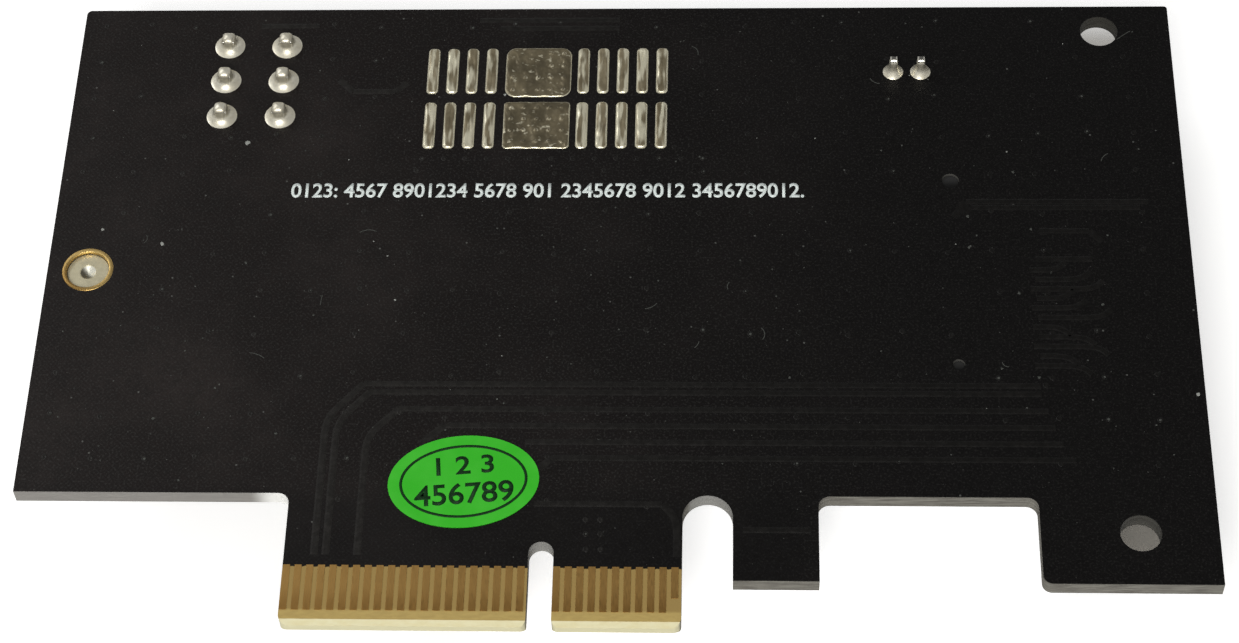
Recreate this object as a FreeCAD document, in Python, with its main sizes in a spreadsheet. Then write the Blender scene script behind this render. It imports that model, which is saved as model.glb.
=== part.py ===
import FreeCAD, Part
import os
import Sketcher

# A plug-in adapter card that holds a stick-type solid state drive.
# Origin: middle of the key notch, on the lower edge of the contact tab, half way through the laminate.
# +X runs towards the bracket edge, +Y up the card away from the slot, +Z out of the solder side.
# Parts of the component side are drawn with +Z away from that side, then turned over onto it.

V = FreeCAD.Vector

# Driving sizes, in millimetres and degrees.
SIZES = {
    # laminate
    "board_thickness": 1.6,
    "step_width": 24.2,
    "tab_left_margin": 0.05,
    "tab_right_margin": 0.27,
    "key_width": 2.15,
    "key_depth": 8.0,
    "relief_width": 4.3,
    "guide_width": 7.28,
    "guide_foot": 4.4,
    "recess_width": 18.64,
    "leg_width": 14.94,
    "leg_foot": 4.35,
    "board_foot": 12.65,
    "board_top": 66.6,
    "notch_radius": 1.0,
    "leg_radius": 0.8,
    "tab_radius": 0.8,
    "key_mouth_radius": 0.6,
    "top_left_radius": 0.5,
    "top_right_radius": 0.3,
    "bevel": 0.42,
    "bracket_hole": 3.5,
    "bracket_hole_inset": 6.56,
    "upper_hole_drop": 3.0,
    "lower_hole_height": 9.25,
    # edge contacts
    "contact_pitch": 1.0,
    "contact_width": 0.6,
    "contact_length": 4.3,
    "short_contact": 2.95,
    "contact_foot": 1.3,
    "key_to_left_contact": 1.62,
    "key_to_right_contact": 1.38,
    "plating": 0.05,
    # tinned heat strips and heat pads
    "heat_centre": -2.14,
    "strip_drop": 7.6,
    "strip_row_pitch": 6.45,
    "strip_pitch": 1.85,
    "strip_width": 1.1,
    "strip_length": 5.4,
    "strip_bevel": 0.25,
    "pad_to_left_strip": 0.78,
    "pad_to_right_strip": 0.6,
    "heat_pad_width": 6.2,
    "upper_pad_drop": 7.77,
    "upper_pad_length": 5.85,
    "lower_pad_drop": 14.03,
    "lower_pad_length": 5.45,
    "upper_pad_radius": 1.0,
    "lower_pad_radius": 0.35,
    "tin_height": 0.12,
    # drive standoff
    "drive_axis": 36.1,
    "standoff_inset": 3.7,
    "ring_outside": 4.7,
    "ring_bore": 3.9,
    "shank": 3.8,
    "shank_sink": 0.37,
    "standoff_flange": 5.5,
    "standoff_height": 2.45,
    "thread_bore": 1.6,
    "thread_depth": 2.8,
    "centre_pit": 1.6,
    "centre_pit_depth": 0.45,
    # drive socket
    "drive_length": 80.0,
    "peg_to_stop": 1.55,
    "peg_spacing": 20.0,
    "large_peg_hole": 1.6,
    "small_peg_hole": 1.1,
    "peg_clearance": 0.05,
    "peg_sink": 0.25,
    "socket_width": 21.9,
    "socket_front": 3.5,
    "socket_back": 4.1,
    "socket_height": 4.2,
    "socket_lip_setback": 1.8,
    "slot_width": 20.0,
    "slot_floor": 2.35,
    "slot_gap": 0.95,
    "slot_flare": 0.45,
    "key_rib_offset": 6.125,
    "key_rib": 1.0,
    "spring_pitch": 0.5,
    "spring_width": 0.2,
    "spring_clearance": 0.02,
    "spring_thickness": 0.15,
    "tail_length": 1.0,
    "hold_down_width": 2.2,
    "hold_down_foot": 1.1,
    "hold_down_height": 1.6,
    "hold_down_thickness": 0.2,
    # power header, right angle, two rows of three
    "power_pitch": 4.2,
    "power_row_pitch": 5.5,
    "power_shell": 0.6,
    "power_mouth_inset": 0.45,
    "power_depth": 12.65,
    "power_rear_gap": 1.25,
    "power_top_gap": 1.8,
    "power_cell": 3.5,
    "power_cell_depth": 10.4,
    "power_cell_bevel": 0.8,
    "power_pin": 1.07,
    "power_pin_recess": 2.4,
    "power_pin_bend": 0.6,
    "power_pin_bevel": 0.3,
    "power_stub": 1.55,
    "pin_play": 0.02,
    "power_joint": 2.9,
    "power_joint_neck": 1.7,
    "power_joint_height": 0.6,
    "latch_width": 3.6,
    "latch_height": 1.2,
    "latch_length": 3.0,
    "latch_start": 1.8,
    # two pin light header
    "led_pitch": 2.54,
    "led_inset": 24.7,
    "led_drop": 7.8,
    "led_corner": 0.5,
    "led_pin": 0.64,
    "led_pin_length": 6.0,
    "led_pin_bevel": 0.12,
    "led_stub": 2.0,
    "led_joint": 1.9,
    "led_joint_neck": 1.0,
    "led_joint_height": 1.05,
    # can capacitors
    "can_diameter": 8.0,
    "can_top": 10.2,
    "can_base_margin": 0.3,
    "can_base_height": 1.3,
    "can_base_bevel": 1.6,
    "can_terminal_width": 0.9,
    "can_terminal_thickness": 0.2,
    "can_terminal_reach": 0.6,
    "can_terminal_gap": 3.0,
    "can_spacing": 0.8,
    "can_drop": 7.1,
    "slot_can_inset": 5.9,
    "slot_can_rise": 5.85,
    # power transistors
    "transistor_length": 5.8,
    "transistor_width": 5.0,
    "transistor_height": 0.9,
    "lead_frame": 0.25,
    "lead_reach": 0.3,
    "drain_length": 3.9,
    "drain_width": 4.2,
    "source_length": 0.9,
    "source_width": 0.5,
    "source_pitch": 1.27,
    # power inductor
    "inductor_side": 10.0,
    "inductor_height": 4.0,
    "inductor_bevel": 0.8,
    "inductor_to_drain": 5.7,
    "inductor_drop": 9.7,
    "inductor_terminal_width": 3.0,
    "inductor_terminal_height": 1.5,
    "inductor_terminal_thickness": 0.3,
    # converter controller
    "source_to_controller": 2.3,
    "controller_drop": 10.6,
    "controller_length": 4.9,
    "controller_width": 3.9,
    "controller_height": 1.45,
    "controller_lift": 0.15,
    "controller_lead_pitch": 1.27,
    "controller_lead_width": 0.42,
    "controller_lead_thickness": 0.2,
    "controller_lead_reach": 1.05,
    "controller_lead_exit": 0.75,
    "controller_to_can": 0.8,
    # chip parts: length, width, height, end cap, and how far the caps stand proud
    "capacitor_length": 2.0,
    "capacitor_width": 1.25,
    "capacitor_height": 1.1,
    "capacitor_end": 0.45,
    "capacitor_pitch": 4.0,
    "socket_to_capacitor": 2.6,
    "coupling_length": 1.0,
    "coupling_width": 0.5,
    "coupling_height": 0.5,
    "coupling_end": 0.25,
    "coupling_pitch": 2.2,
    "coupling_inset": 3.0,
    "coupling_rise": 9.3,
    "resistor_length": 1.6,
    "resistor_width": 0.8,
    "resistor_height": 0.45,
    "resistor_end": 0.3,
    "resistor_pitch": 2.5,
    "resistor_drop": 16.1,
    "source_to_resistor": 5.0,
    "lamp_length": 2.0,
    "lamp_width": 1.25,
    "lamp_height": 0.8,
    "lamp_end": 0.4,
    "header_to_lamp": 4.5,
    "cap_margin": 0.02,
    # inspection sticker
    "sticker_length": 13.1,
    "sticker_width": 9.2,
    "sticker_thickness": 0.08,
    "sticker_across": -6.96,
    "sticker_up": 13.9,
    "sticker_turn": 5.0,
}

# How many of each repeated piece.
LEFT_CONTACT_COUNT = 21
RIGHT_CONTACT_COUNT = 11
STRIP_ROWS = 2
LEFT_STRIPS = 4
RIGHT_STRIPS = 5
LONG_SPRINGS = 29
UPPER_SHORT_SPRINGS = 5
LOWER_SHORT_SPRINGS = 4
POWER_ROWS = 2
POWER_COLUMNS = 3
SOURCE_LEADS = 4
CONTROLLER_LEADS = 4
CHIP_CAPACITORS = 4
COUPLING_CAPACITORS = 8
CHIP_RESISTORS = 6


class Size:
    """A length together with the sheet formula that gives it."""

    def __init__(self, value, formula=None):
        self.value = float(value)
        self.formula = formula if formula else repr(float(value))

    def __add__(self, other):
        other = as_size(other)
        return Size(self.value + other.value, "(%s + %s)" % (self.formula, other.formula))

    def __sub__(self, other):
        other = as_size(other)
        return Size(self.value - other.value, "(%s - %s)" % (self.formula, other.formula))

    def __mul__(self, number):
        return Size(self.value * number, "(%s * %r)" % (self.formula, float(number)))

    def __truediv__(self, number):
        return Size(self.value / number, "(%s / %r)" % (self.formula, float(number)))

    def __neg__(self):
        return self * -1


def as_size(length):
    return length if isinstance(length, Size) else Size(length)


doc = FreeCAD.newDocument("AdapterCard")
sheet = doc.addObject("Spreadsheet::Sheet", "Sizes")
for row, (alias, number) in enumerate(SIZES.items(), 1):
    sheet.set("A%d" % row, alias)
    sheet.set("B%d" % row, str(number))
    sheet.setAlias("B%d" % row, alias)
doc.recompute()

nodes = []


def size(alias):
    return Size(SIZES[alias], "Sizes." + alias)


def bind(item, setting, length):
    """Tie one setting of an object to the sheet."""
    item.setExpression(setting, as_size(length).formula)


def node(item, label):
    """Name a finished sub-part; its label is also its file name."""
    item.Label = label
    nodes.append(item)
    return item


def place(item, x, y, z=0.0, turn=None):
    """Put a piece at x, y, z, turned by the given rotation."""
    x, y, z = as_size(x), as_size(y), as_size(z)
    item.Placement = FreeCAD.Placement(V(x.value, y.value, z.value), turn or FreeCAD.Rotation())
    bind(item, ".Placement.Base.x", x)
    bind(item, ".Placement.Base.y", y)
    bind(item, ".Placement.Base.z", z)


def turn_over(quarter_turns=0):
    """Rotation that sets a piece on the component side, after some quarter turns about its own Z."""
    flip = FreeCAD.Rotation(V(1, 0, 0), 180)
    return flip.multiply(FreeCAD.Rotation(V(0, 0, 1), 90 * quarter_turns))


def new_body(name):
    return doc.addObject("PartDesign::Body", name)


def origin_feature(body, role):
    return next(item for item in body.Origin.OriginFeatures if item.Role == role)


def sketch_on(body, role, shift=0.0):
    """Sketch on one of the body's own planes, moved along that plane's normal."""
    sketch = body.newObject("Sketcher::SketchObject", "Sketch")
    sketch.AttachmentSupport = (origin_feature(body, role), [""])
    sketch.MapMode = "FlatFace"
    shift = as_size(shift)
    sketch.AttachmentOffset = FreeCAD.Placement(V(0, 0, shift.value), FreeCAD.Rotation())
    bind(sketch, "AttachmentOffset.Base.z", shift)
    return sketch


def hold(sketch, element, vertex, x, y):
    """Fix a sketch point at its distances from the sketch's origin."""
    for kind, length in (("DistanceX", as_size(x)), ("DistanceY", as_size(y))):
        rule = Sketcher.Constraint(kind, -1, 1, element, vertex, length.value)
        index = sketch.addConstraint(rule)
        bind(sketch, "Constraints[%d]" % index, length)


def polygon(sketch, points):
    """Closed outline through the given points."""
    points = [(as_size(x), as_size(y)) for x, y in points]
    first = len(sketch.Geometry)
    for start, end in zip(points, points[1:] + points[:1]):
        line = Part.LineSegment(V(start[0].value, start[1].value, 0), V(end[0].value, end[1].value, 0))
        sketch.addGeometry(line, False)
    for index, (x, y) in enumerate(points):
        following = first + (index + 1) % len(points)
        sketch.addConstraint(Sketcher.Constraint("Coincident", first + index, 2, following, 1))
        hold(sketch, first + index, 1, x, y)


def rectangle(sketch, x_low, x_high, y_low, y_high):
    polygon(sketch, [(x_low, y_low), (x_high, y_low), (x_high, y_high), (x_low, y_high)])


def centred(sketch, x, y, length, width):
    rectangle(sketch, x - length / 2, x + length / 2, y - width / 2, y + width / 2)


def circle(sketch, x, y, diameter):
    x, y = as_size(x), as_size(y)
    ring = Part.Circle(V(x.value, y.value, 0), V(0, 0, 1), diameter.value / 2)
    index = sketch.addGeometry(ring, False)
    hold(sketch, index, 3, x, y)
    rule = sketch.addConstraint(Sketcher.Constraint("Diameter", index, diameter.value))
    bind(sketch, "Constraints[%d]" % rule, diameter)


def extrude(body, kind, sketch, length, symmetric, reverse):
    feature = body.newObject("PartDesign::" + kind, kind)
    feature.Profile = sketch
    feature.SideType = "Symmetric" if symmetric else "One side"
    feature.Reversed = reverse
    if length is None:
        feature.Type = "ThroughAll"
    else:
        feature.Length = length.value
        bind(feature, "Length", length)
    sketch.Visibility = False
    return feature


def pad(body, sketch, length, symmetric=False, reverse=False):
    return extrude(body, "Pad", sketch, length, symmetric, reverse)


def pocket(body, sketch, length=None, symmetric=False, reverse=False):
    return extrude(body, "Pocket", sketch, length, symmetric, reverse)


def revolve(body, sketch):
    """Solid of revolution of an XZ profile about the body's Z axis."""
    feature = body.newObject("PartDesign::Revolution", "Revolution")
    feature.Profile = sketch
    feature.ReferenceAxis = (origin_feature(body, "Z_Axis"), [""])
    feature.Angle = 360
    sketch.Visibility = False
    return feature


def repeat(body, feature, role, pitch, count, second=None):
    """Copy a feature along one axis, and along a second (role, pitch, count) where given."""
    pattern = body.newObject("PartDesign::LinearPattern", "Row")
    pattern.Originals = [feature]
    pattern.Direction = (origin_feature(body, role), [""])
    pattern.Mode = "Spacing"
    pattern.Offset = pitch.value
    bind(pattern, "Offset", pitch)
    pattern.Occurrences = count
    if second:
        second_role, second_pitch, second_count = second
        pattern.Direction2 = (origin_feature(body, second_role), [""])
        pattern.Mode2 = "Spacing"
        pattern.Offset2 = second_pitch.value
        bind(pattern, "Offset2", second_pitch)
        pattern.Occurrences2 = second_count
        pattern.Spacings2 = [-1.0] * (second_count - 1)
    body.Tip = pattern
    return pattern


def upright_edges(shape, corners):
    """Names of the straight edges along Z that stand at the given corners."""
    names = []
    for index, edge in enumerate(shape.Edges, 1):
        box = edge.BoundBox
        if box.XLength > 0.001 or box.YLength > 0.001:
            continue
        if any(abs(box.XMin - x.value) < 0.001 and abs(box.YMin - y.value) < 0.001 for x, y in corners):
            names.append("Edge%d" % index)
    return names


def dress_edges(body, kind, names, setting, length):
    """Fillet or chamfer the named edges of the body's last feature."""
    base = body.Tip
    feature = body.newObject("PartDesign::" + kind, kind)
    feature.Base = (base, names)
    setattr(feature, setting, length.value)
    bind(feature, setting, length)
    doc.recompute()
    return feature


def round_corners(body, corners, radius):
    doc.recompute()
    corners = [(as_size(x), as_size(y)) for x, y in corners]
    return dress_edges(body, "Fillet", upright_edges(body.Tip.Shape, corners), "Radius", radius)


def end_edges(shape, end):
    """Names of the edges in a shape's flat end, which is named as in its bounding box, such as ZMax."""
    limit = getattr(shape.BoundBox, end)
    names = []
    for index, edge in enumerate(shape.Edges, 1):
        near, far = (getattr(edge.BoundBox, end[0] + limb) for limb in ("Min", "Max"))
        if abs(near - limit) < 0.001 and abs(far - limit) < 0.001:
            names.append("Edge%d" % index)
    return names


def group(label, piece, places, quarter_turns=0):
    """One node that holds the same component-side piece at several places."""
    links = []
    for x, y in places:
        link = doc.addObject("App::Link", "Copy")
        link.LinkedObject = piece
        place(link, x, y, -half_board, turn_over(quarter_turns))
        links.append(link)
    compound = doc.addObject("Part::Compound", "Group")
    compound.Links = links
    return node(compound, label)


# Places that several pieces share.
half_board = size("board_thickness") / 2
tab_left = size("key_to_left_contact") + size("contact_pitch") * (LEFT_CONTACT_COUNT - 1) \
    + size("contact_width") / 2 + size("tab_left_margin")
tab_right = size("key_to_right_contact") + size("contact_pitch") * (RIGHT_CONTACT_COUNT - 1) \
    + size("contact_width") / 2 + size("tab_right_margin")
left_edge = -(tab_left + size("step_width"))
guide_left = tab_right + size("relief_width")
guide_right = guide_left + size("guide_width")
leg_left = guide_right + size("recess_width")
bracket_edge = leg_left + size("leg_width")
bracket_hole_x = bracket_edge - size("bracket_hole_inset")
upper_hole_y = size("board_top") - size("upper_hole_drop")
standoff_x = left_edge + size("standoff_inset")
socket_x = standoff_x + size("drive_length") - size("peg_to_stop")
power_x = left_edge + size("power_mouth_inset") + size("power_depth") + size("power_rear_gap")
power_width = size("power_pitch") * POWER_COLUMNS + size("power_shell") * 2
power_y = size("board_top") - size("power_top_gap") - power_width / 2
led_x = bracket_edge - size("led_inset")
led_y = size("board_top") - size("led_drop")
upper_pad_y = size("board_top") - size("upper_pad_drop")
lower_pad_y = size("board_top") - size("lower_pad_drop")
source_end = size("heat_centre") + size("transistor_length") / 2 + size("lead_reach")
controller_end = source_end + size("source_to_controller") \
    + size("controller_width") + size("controller_lead_reach") * 2


def make_circuit_board():
    board = new_body("Board")
    zero = Size(0)
    foot = size("board_foot")
    face = sketch_on(board, "XY_Plane")
    polygon(face, [
        (-tab_left, zero), (tab_right, zero), (tab_right, size("guide_foot")),
        (guide_right, size("guide_foot")), (guide_right, foot), (leg_left, foot),
        (leg_left, size("leg_foot")), (bracket_edge, size("leg_foot")),
        (bracket_edge, size("board_top")), (left_edge, size("board_top")),
        (left_edge, foot), (-tab_left, foot),
    ])
    pad(board, face, size("board_thickness"), symmetric=True)

    # key notch and relief notch: straight sides under a half round end
    for middle, width, top in (
        (zero, size("key_width"), size("key_depth")),
        ((tab_right + guide_left) / 2, size("relief_width"), foot),
    ):
        bend = top - width / 2
        sides = sketch_on(board, "XY_Plane")
        rectangle(sides, middle - width / 2, middle + width / 2, -size("bevel"), bend)
        pocket(board, sides, symmetric=True)
        crown = sketch_on(board, "XY_Plane")
        circle(crown, middle, bend, width)
        pocket(board, crown, symmetric=True)

    power_hole = size("power_pin") + size("pin_play") * 2
    led_hole = size("led_pin") + size("pin_play") * 2
    drills = sketch_on(board, "XY_Plane")
    circle(drills, bracket_hole_x, upper_hole_y, size("bracket_hole"))
    circle(drills, bracket_hole_x, size("lower_hole_height"), size("bracket_hole"))
    circle(drills, standoff_x, size("drive_axis"), size("ring_bore"))
    circle(drills, socket_x, size("drive_axis") + size("peg_spacing") / 2, size("large_peg_hole"))
    circle(drills, socket_x, size("drive_axis") - size("peg_spacing") / 2, size("small_peg_hole"))
    for row in range(POWER_ROWS):
        for column in range(POWER_COLUMNS):
            offset = size("power_pitch") * (column - (POWER_COLUMNS - 1) / 2)
            centred(drills, power_x + size("power_row_pitch") * row, power_y + offset, power_hole, power_hole)
    for side in (-0.5, 0.5):
        centred(drills, led_x + size("led_pitch") * side, led_y, led_hole, led_hole)
    pocket(board, drills, symmetric=True)

    half_key = size("key_width") / 2
    round_corners(board, [(-tab_left, foot), (guide_right, foot), (leg_left, foot)], size("notch_radius"))
    round_corners(board, [(leg_left, size("leg_foot"))], size("leg_radius"))
    round_corners(board, [(left_edge, size("board_top"))], size("top_left_radius"))
    round_corners(board, [(bracket_edge, size("board_top"))], size("top_right_radius"))
    round_corners(board, [(-tab_left, zero), (tab_right, zero)], size("tab_radius"))
    round_corners(board, [(-half_key, zero), (half_key, zero)], size("key_mouth_radius"))

    # insertion bevel along the contact tab, both faces
    bevel = size("bevel")
    wedge = sketch_on(board, "YZ_Plane")
    for side in (1, -1):
        polygon(wedge, [
            (bevel * 2, (half_board + bevel) * side),
            (-bevel, (half_board - bevel * 2) * side),
            (-bevel, (half_board + bevel) * side),
        ])
    pocket(board, wedge, symmetric=True)
    place(board, 0.0, 0.0)
    node(board, "circuit_board")


def make_edge_contacts(label, side, rows):
    """Gold contacts of one side; each row is (first position, how many, length)."""
    contacts = new_body("Contacts")
    top = size("contact_foot") + size("contact_length")
    for first, count, length in rows:
        blade = sketch_on(contacts, "XY_Plane")
        half_width = size("contact_width") / 2
        rectangle(blade, first - half_width, first + half_width, top - length, top)
        strip = pad(contacts, blade, size("plating"))
        if count > 1:
            repeat(contacts, strip, "X_Axis", size("contact_pitch"), count)
    lift = half_board if side > 0 else -half_board - size("plating")
    place(contacts, 0.0, 0.0, lift)
    node(contacts, label)


def make_all_edge_contacts():
    pitch = size("contact_pitch")
    far_left = -size("key_to_left_contact") - pitch * (LEFT_CONTACT_COUNT - 1)
    near_right = size("key_to_right_contact")
    full = size("contact_length")
    short = size("short_contact")
    make_edge_contacts("edge_contacts_back", 1, [
        (far_left, LEFT_CONTACT_COUNT, full),
        (near_right, RIGHT_CONTACT_COUNT - 1, full),
        (near_right + pitch * (RIGHT_CONTACT_COUNT - 1), 1, short),
    ])
    make_edge_contacts("edge_contacts_front", -1, [
        (far_left, 1, full),
        (far_left + pitch, 1, short),
        (far_left + pitch * 2, LEFT_CONTACT_COUNT - 2, full),
        (near_right, RIGHT_CONTACT_COUNT, full),
    ])


def make_heat_areas():
    """Tinned strips in two rows, and the two pads between them."""
    strips = new_body("Strips")
    half_pad = size("heat_pad_width") / 2
    lower_row_y = size("board_top") - size("strip_drop") - size("strip_row_pitch") * (STRIP_ROWS - 1)
    half_strip = size("strip_width") / 2
    first_right = size("heat_centre") + half_pad + size("pad_to_right_strip") + half_strip
    last_left = size("heat_centre") - half_pad - size("pad_to_left_strip") - half_strip
    first_left = last_left - size("strip_pitch") * (LEFT_STRIPS - 1)
    for first, count in ((first_left, LEFT_STRIPS), (first_right, RIGHT_STRIPS)):
        face = sketch_on(strips, "XY_Plane")
        centred(face, first, lower_row_y, size("strip_width"), size("strip_length"))
        strip = pad(strips, face, size("tin_height"))
        row = ("Y_Axis", size("strip_row_pitch"), STRIP_ROWS)
        repeat(strips, strip, "X_Axis", size("strip_pitch"), count, row)
    doc.recompute()
    posts = [
        "Edge%d" % index
        for index, edge in enumerate(strips.Tip.Shape.Edges, 1)
        if edge.BoundBox.ZLength > size("tin_height").value / 2
    ]
    dress_edges(strips, "Chamfer", posts, "Size", size("strip_bevel"))
    place(strips, 0.0, 0.0, half_board)
    node(strips, "tinned_bars")

    pads = new_body("Pads")
    for middle_y, length, radius in (
        (upper_pad_y, size("upper_pad_length"), size("upper_pad_radius")),
        (lower_pad_y, size("lower_pad_length"), size("lower_pad_radius")),
    ):
        face = sketch_on(pads, "XY_Plane")
        centred(face, size("heat_centre"), middle_y, size("heat_pad_width"), length)
        pad(pads, face, size("tin_height"))
        corners = [
            (size("heat_centre") + half_pad * across, middle_y + length / 2 * up)
            for across in (-1, 1)
            for up in (-1, 1)
        ]
        round_corners(pads, corners, radius)
    place(pads, 0.0, 0.0, half_board)
    node(pads, "thermal_pads")


def make_standoff():
    """Plated ring on the solder side, and the threaded standoff that is held in its hole."""
    ring = new_body("Ring")
    bore = size("ring_bore") / 2
    rim = size("ring_outside") / 2
    top = half_board + size("plating")
    profile = sketch_on(ring, "XZ_Plane")
    polygon(profile, [(bore, half_board), (rim, half_board), (rim, top), (bore, top)])
    revolve(ring, profile)
    place(ring, standoff_x, size("drive_axis"))
    node(ring, "standoff_ring")

    standoff = new_body("Standoff")
    shank = size("shank") / 2
    flange = size("standoff_flange") / 2
    bore = size("thread_bore") / 2
    seat = -half_board
    mouth = seat - size("standoff_height")
    shank_end = half_board - size("shank_sink")
    body_profile = sketch_on(standoff, "XZ_Plane")
    polygon(body_profile, [
        (0.0, mouth + size("thread_depth")), (bore, mouth + size("thread_depth")), (bore, mouth),
        (flange, mouth), (flange, seat), (shank, seat), (shank, shank_end),
        (size("centre_pit") / 2, shank_end), (0.0, shank_end - size("centre_pit_depth")),
    ])
    revolve(standoff, body_profile)
    place(standoff, standoff_x, size("drive_axis"))
    node(standoff, "ssd_standoff")


def spring_starts():
    """Across-card starts of the two spring groups, either side of the key rib, for one row."""
    pitch = size("spring_pitch")
    rib = -size("key_rib_offset")
    first_long = rib + pitch * 2
    first_short = rib - pitch * 2
    return first_long, first_short


def make_socket():
    """Low keyed socket; its mouth faces the standoff."""
    width = size("socket_width")
    front = -size("socket_front")
    back = size("socket_back")
    height = size("socket_height")
    lip = front + size("socket_lip_setback")
    floor = size("slot_floor")
    ceiling = floor + size("slot_gap")
    stop = size("peg_to_stop")
    flare = size("slot_flare")
    thickness = size("spring_thickness")
    groove = size("spring_width") + size("spring_clearance") * 2

    housing = new_body("Socket")
    side = sketch_on(housing, "XZ_Plane")
    polygon(side, [(front, 0.0), (back, 0.0), (back, height), (lip, height), (front, ceiling)])
    pad(housing, side, width, symmetric=True)

    # card slot, in two stretches that leave the key rib standing
    half_slot = size("slot_width") / 2
    rib_near = -size("key_rib_offset") + size("key_rib") / 2
    rib_far = -size("key_rib_offset") - size("key_rib") / 2
    for low, high in ((-half_slot, rib_far), (rib_near, half_slot)):
        opening = sketch_on(housing, "XZ_Plane", -high)
        polygon(opening, [
            (stop, floor), (stop, ceiling), (lip + flare, ceiling), (lip - flare, height),
            (front - flare, height), (front - flare, floor - flare * 2), (front + flare, floor),
        ])
        pocket(housing, opening, high - low, reverse=True)

    # one channel for each spring, upper row then lower row
    first_long, first_short = spring_starts()
    upper_channel = [
        (lip + flare, floor + size("slot_gap") / 2), (stop, floor + size("slot_gap") / 2),
        (stop, ceiling + thickness), (back + flare, ceiling + thickness),
        (back + flare, height + flare), (lip + flare, height + flare),
    ]
    channel_start = front + flare * 2
    lower_channel = [
        (front - flare, -flare), (stop - flare, -flare), (stop - flare, floor + flare / 2),
        (channel_start, floor + flare / 2), (front + flare, thickness * 2), (front - flare, thickness * 2),
    ]
    for channel, offset, short_count in (
        (upper_channel, Size(0), UPPER_SHORT_SPRINGS),
        (lower_channel, size("spring_pitch") / 2, LOWER_SHORT_SPRINGS),
    ):
        for first, count, step in ((first_long, LONG_SPRINGS, 1), (first_short, short_count, -1)):
            cut = sketch_on(housing, "XZ_Plane", -(first + offset * step) - groove / 2)
            polygon(cut, channel)
            slot = pocket(housing, cut, groove, reverse=True)
            row = repeat(housing, slot, "Y_Axis", size("spring_pitch"), count)
            row.Reversed = step < 0

    for side_sign, hole in ((-1, "large_peg_hole"), (1, "small_peg_hole")):
        foot = sketch_on(housing, "XY_Plane")
        circle(foot, 0.0, size("peg_spacing") / 2 * side_sign, size(hole) - size("peg_clearance") * 2)
        pad(housing, foot, size("board_thickness") - size("peg_sink"), reverse=True)
    place(housing, socket_x, size("drive_axis"), -half_board, turn_over())
    node(housing, "ssd_socket_housing")

    tail = size("tail_length")
    bend = ceiling + thickness
    upper = [
        (back, 0.0), (back + tail, 0.0), (back + tail, thickness), (back + thickness, thickness),
        (back + thickness, bend + thickness), (stop - flare * 2, bend + thickness),
        (lip + flare * 2, ceiling + thickness / 2), (lip + flare * 3, ceiling - thickness),
        (stop - flare * 2, bend), (back, bend),
    ]
    root = front + flare * 2 - thickness
    lower = [
        (front - tail, 0.0), (root, 0.0), (root, thickness * 4), (stop - flare * 2, floor + thickness),
        (stop - flare * 3, floor + thickness * 2), (root - thickness, thickness * 5),
        (root - thickness, thickness), (front - tail, thickness),
    ]
    for label, profile, offset, short_count in (
        ("ssd_socket_upper_contacts", upper, Size(0), UPPER_SHORT_SPRINGS),
        ("ssd_socket_lower_contacts", lower, size("spring_pitch") / 2, LOWER_SHORT_SPRINGS),
    ):
        springs = new_body("Springs")
        for first, count, step in ((first_long, LONG_SPRINGS, 1), (first_short, short_count, -1)):
            shape = sketch_on(springs, "XZ_Plane", -(first + offset * step))
            polygon(shape, profile)
            spring = pad(springs, shape, size("spring_width"), symmetric=True)
            row = repeat(springs, spring, "Y_Axis", size("spring_pitch"), count)
            row.Reversed = step < 0
        place(springs, socket_x, size("drive_axis"), -half_board, turn_over())
        node(springs, label)

    clips = new_body("Clips")
    for side_sign in (-1, 1):
        leaf = size("hold_down_thickness")
        face = width / 2 * side_sign
        angle = sketch_on(clips, "YZ_Plane")
        polygon(angle, [
            (face, 0.0), (face + size("hold_down_foot") * side_sign, 0.0),
            (face + size("hold_down_foot") * side_sign, leaf), (face + leaf * side_sign, leaf),
            (face + leaf * side_sign, size("hold_down_height")), (face, size("hold_down_height")),
        ])
        pad(clips, angle, size("hold_down_width"), symmetric=True)
    place(clips, socket_x, size("drive_axis"), -half_board, turn_over())
    node(clips, "ssd_socket_hold_downs")


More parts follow.
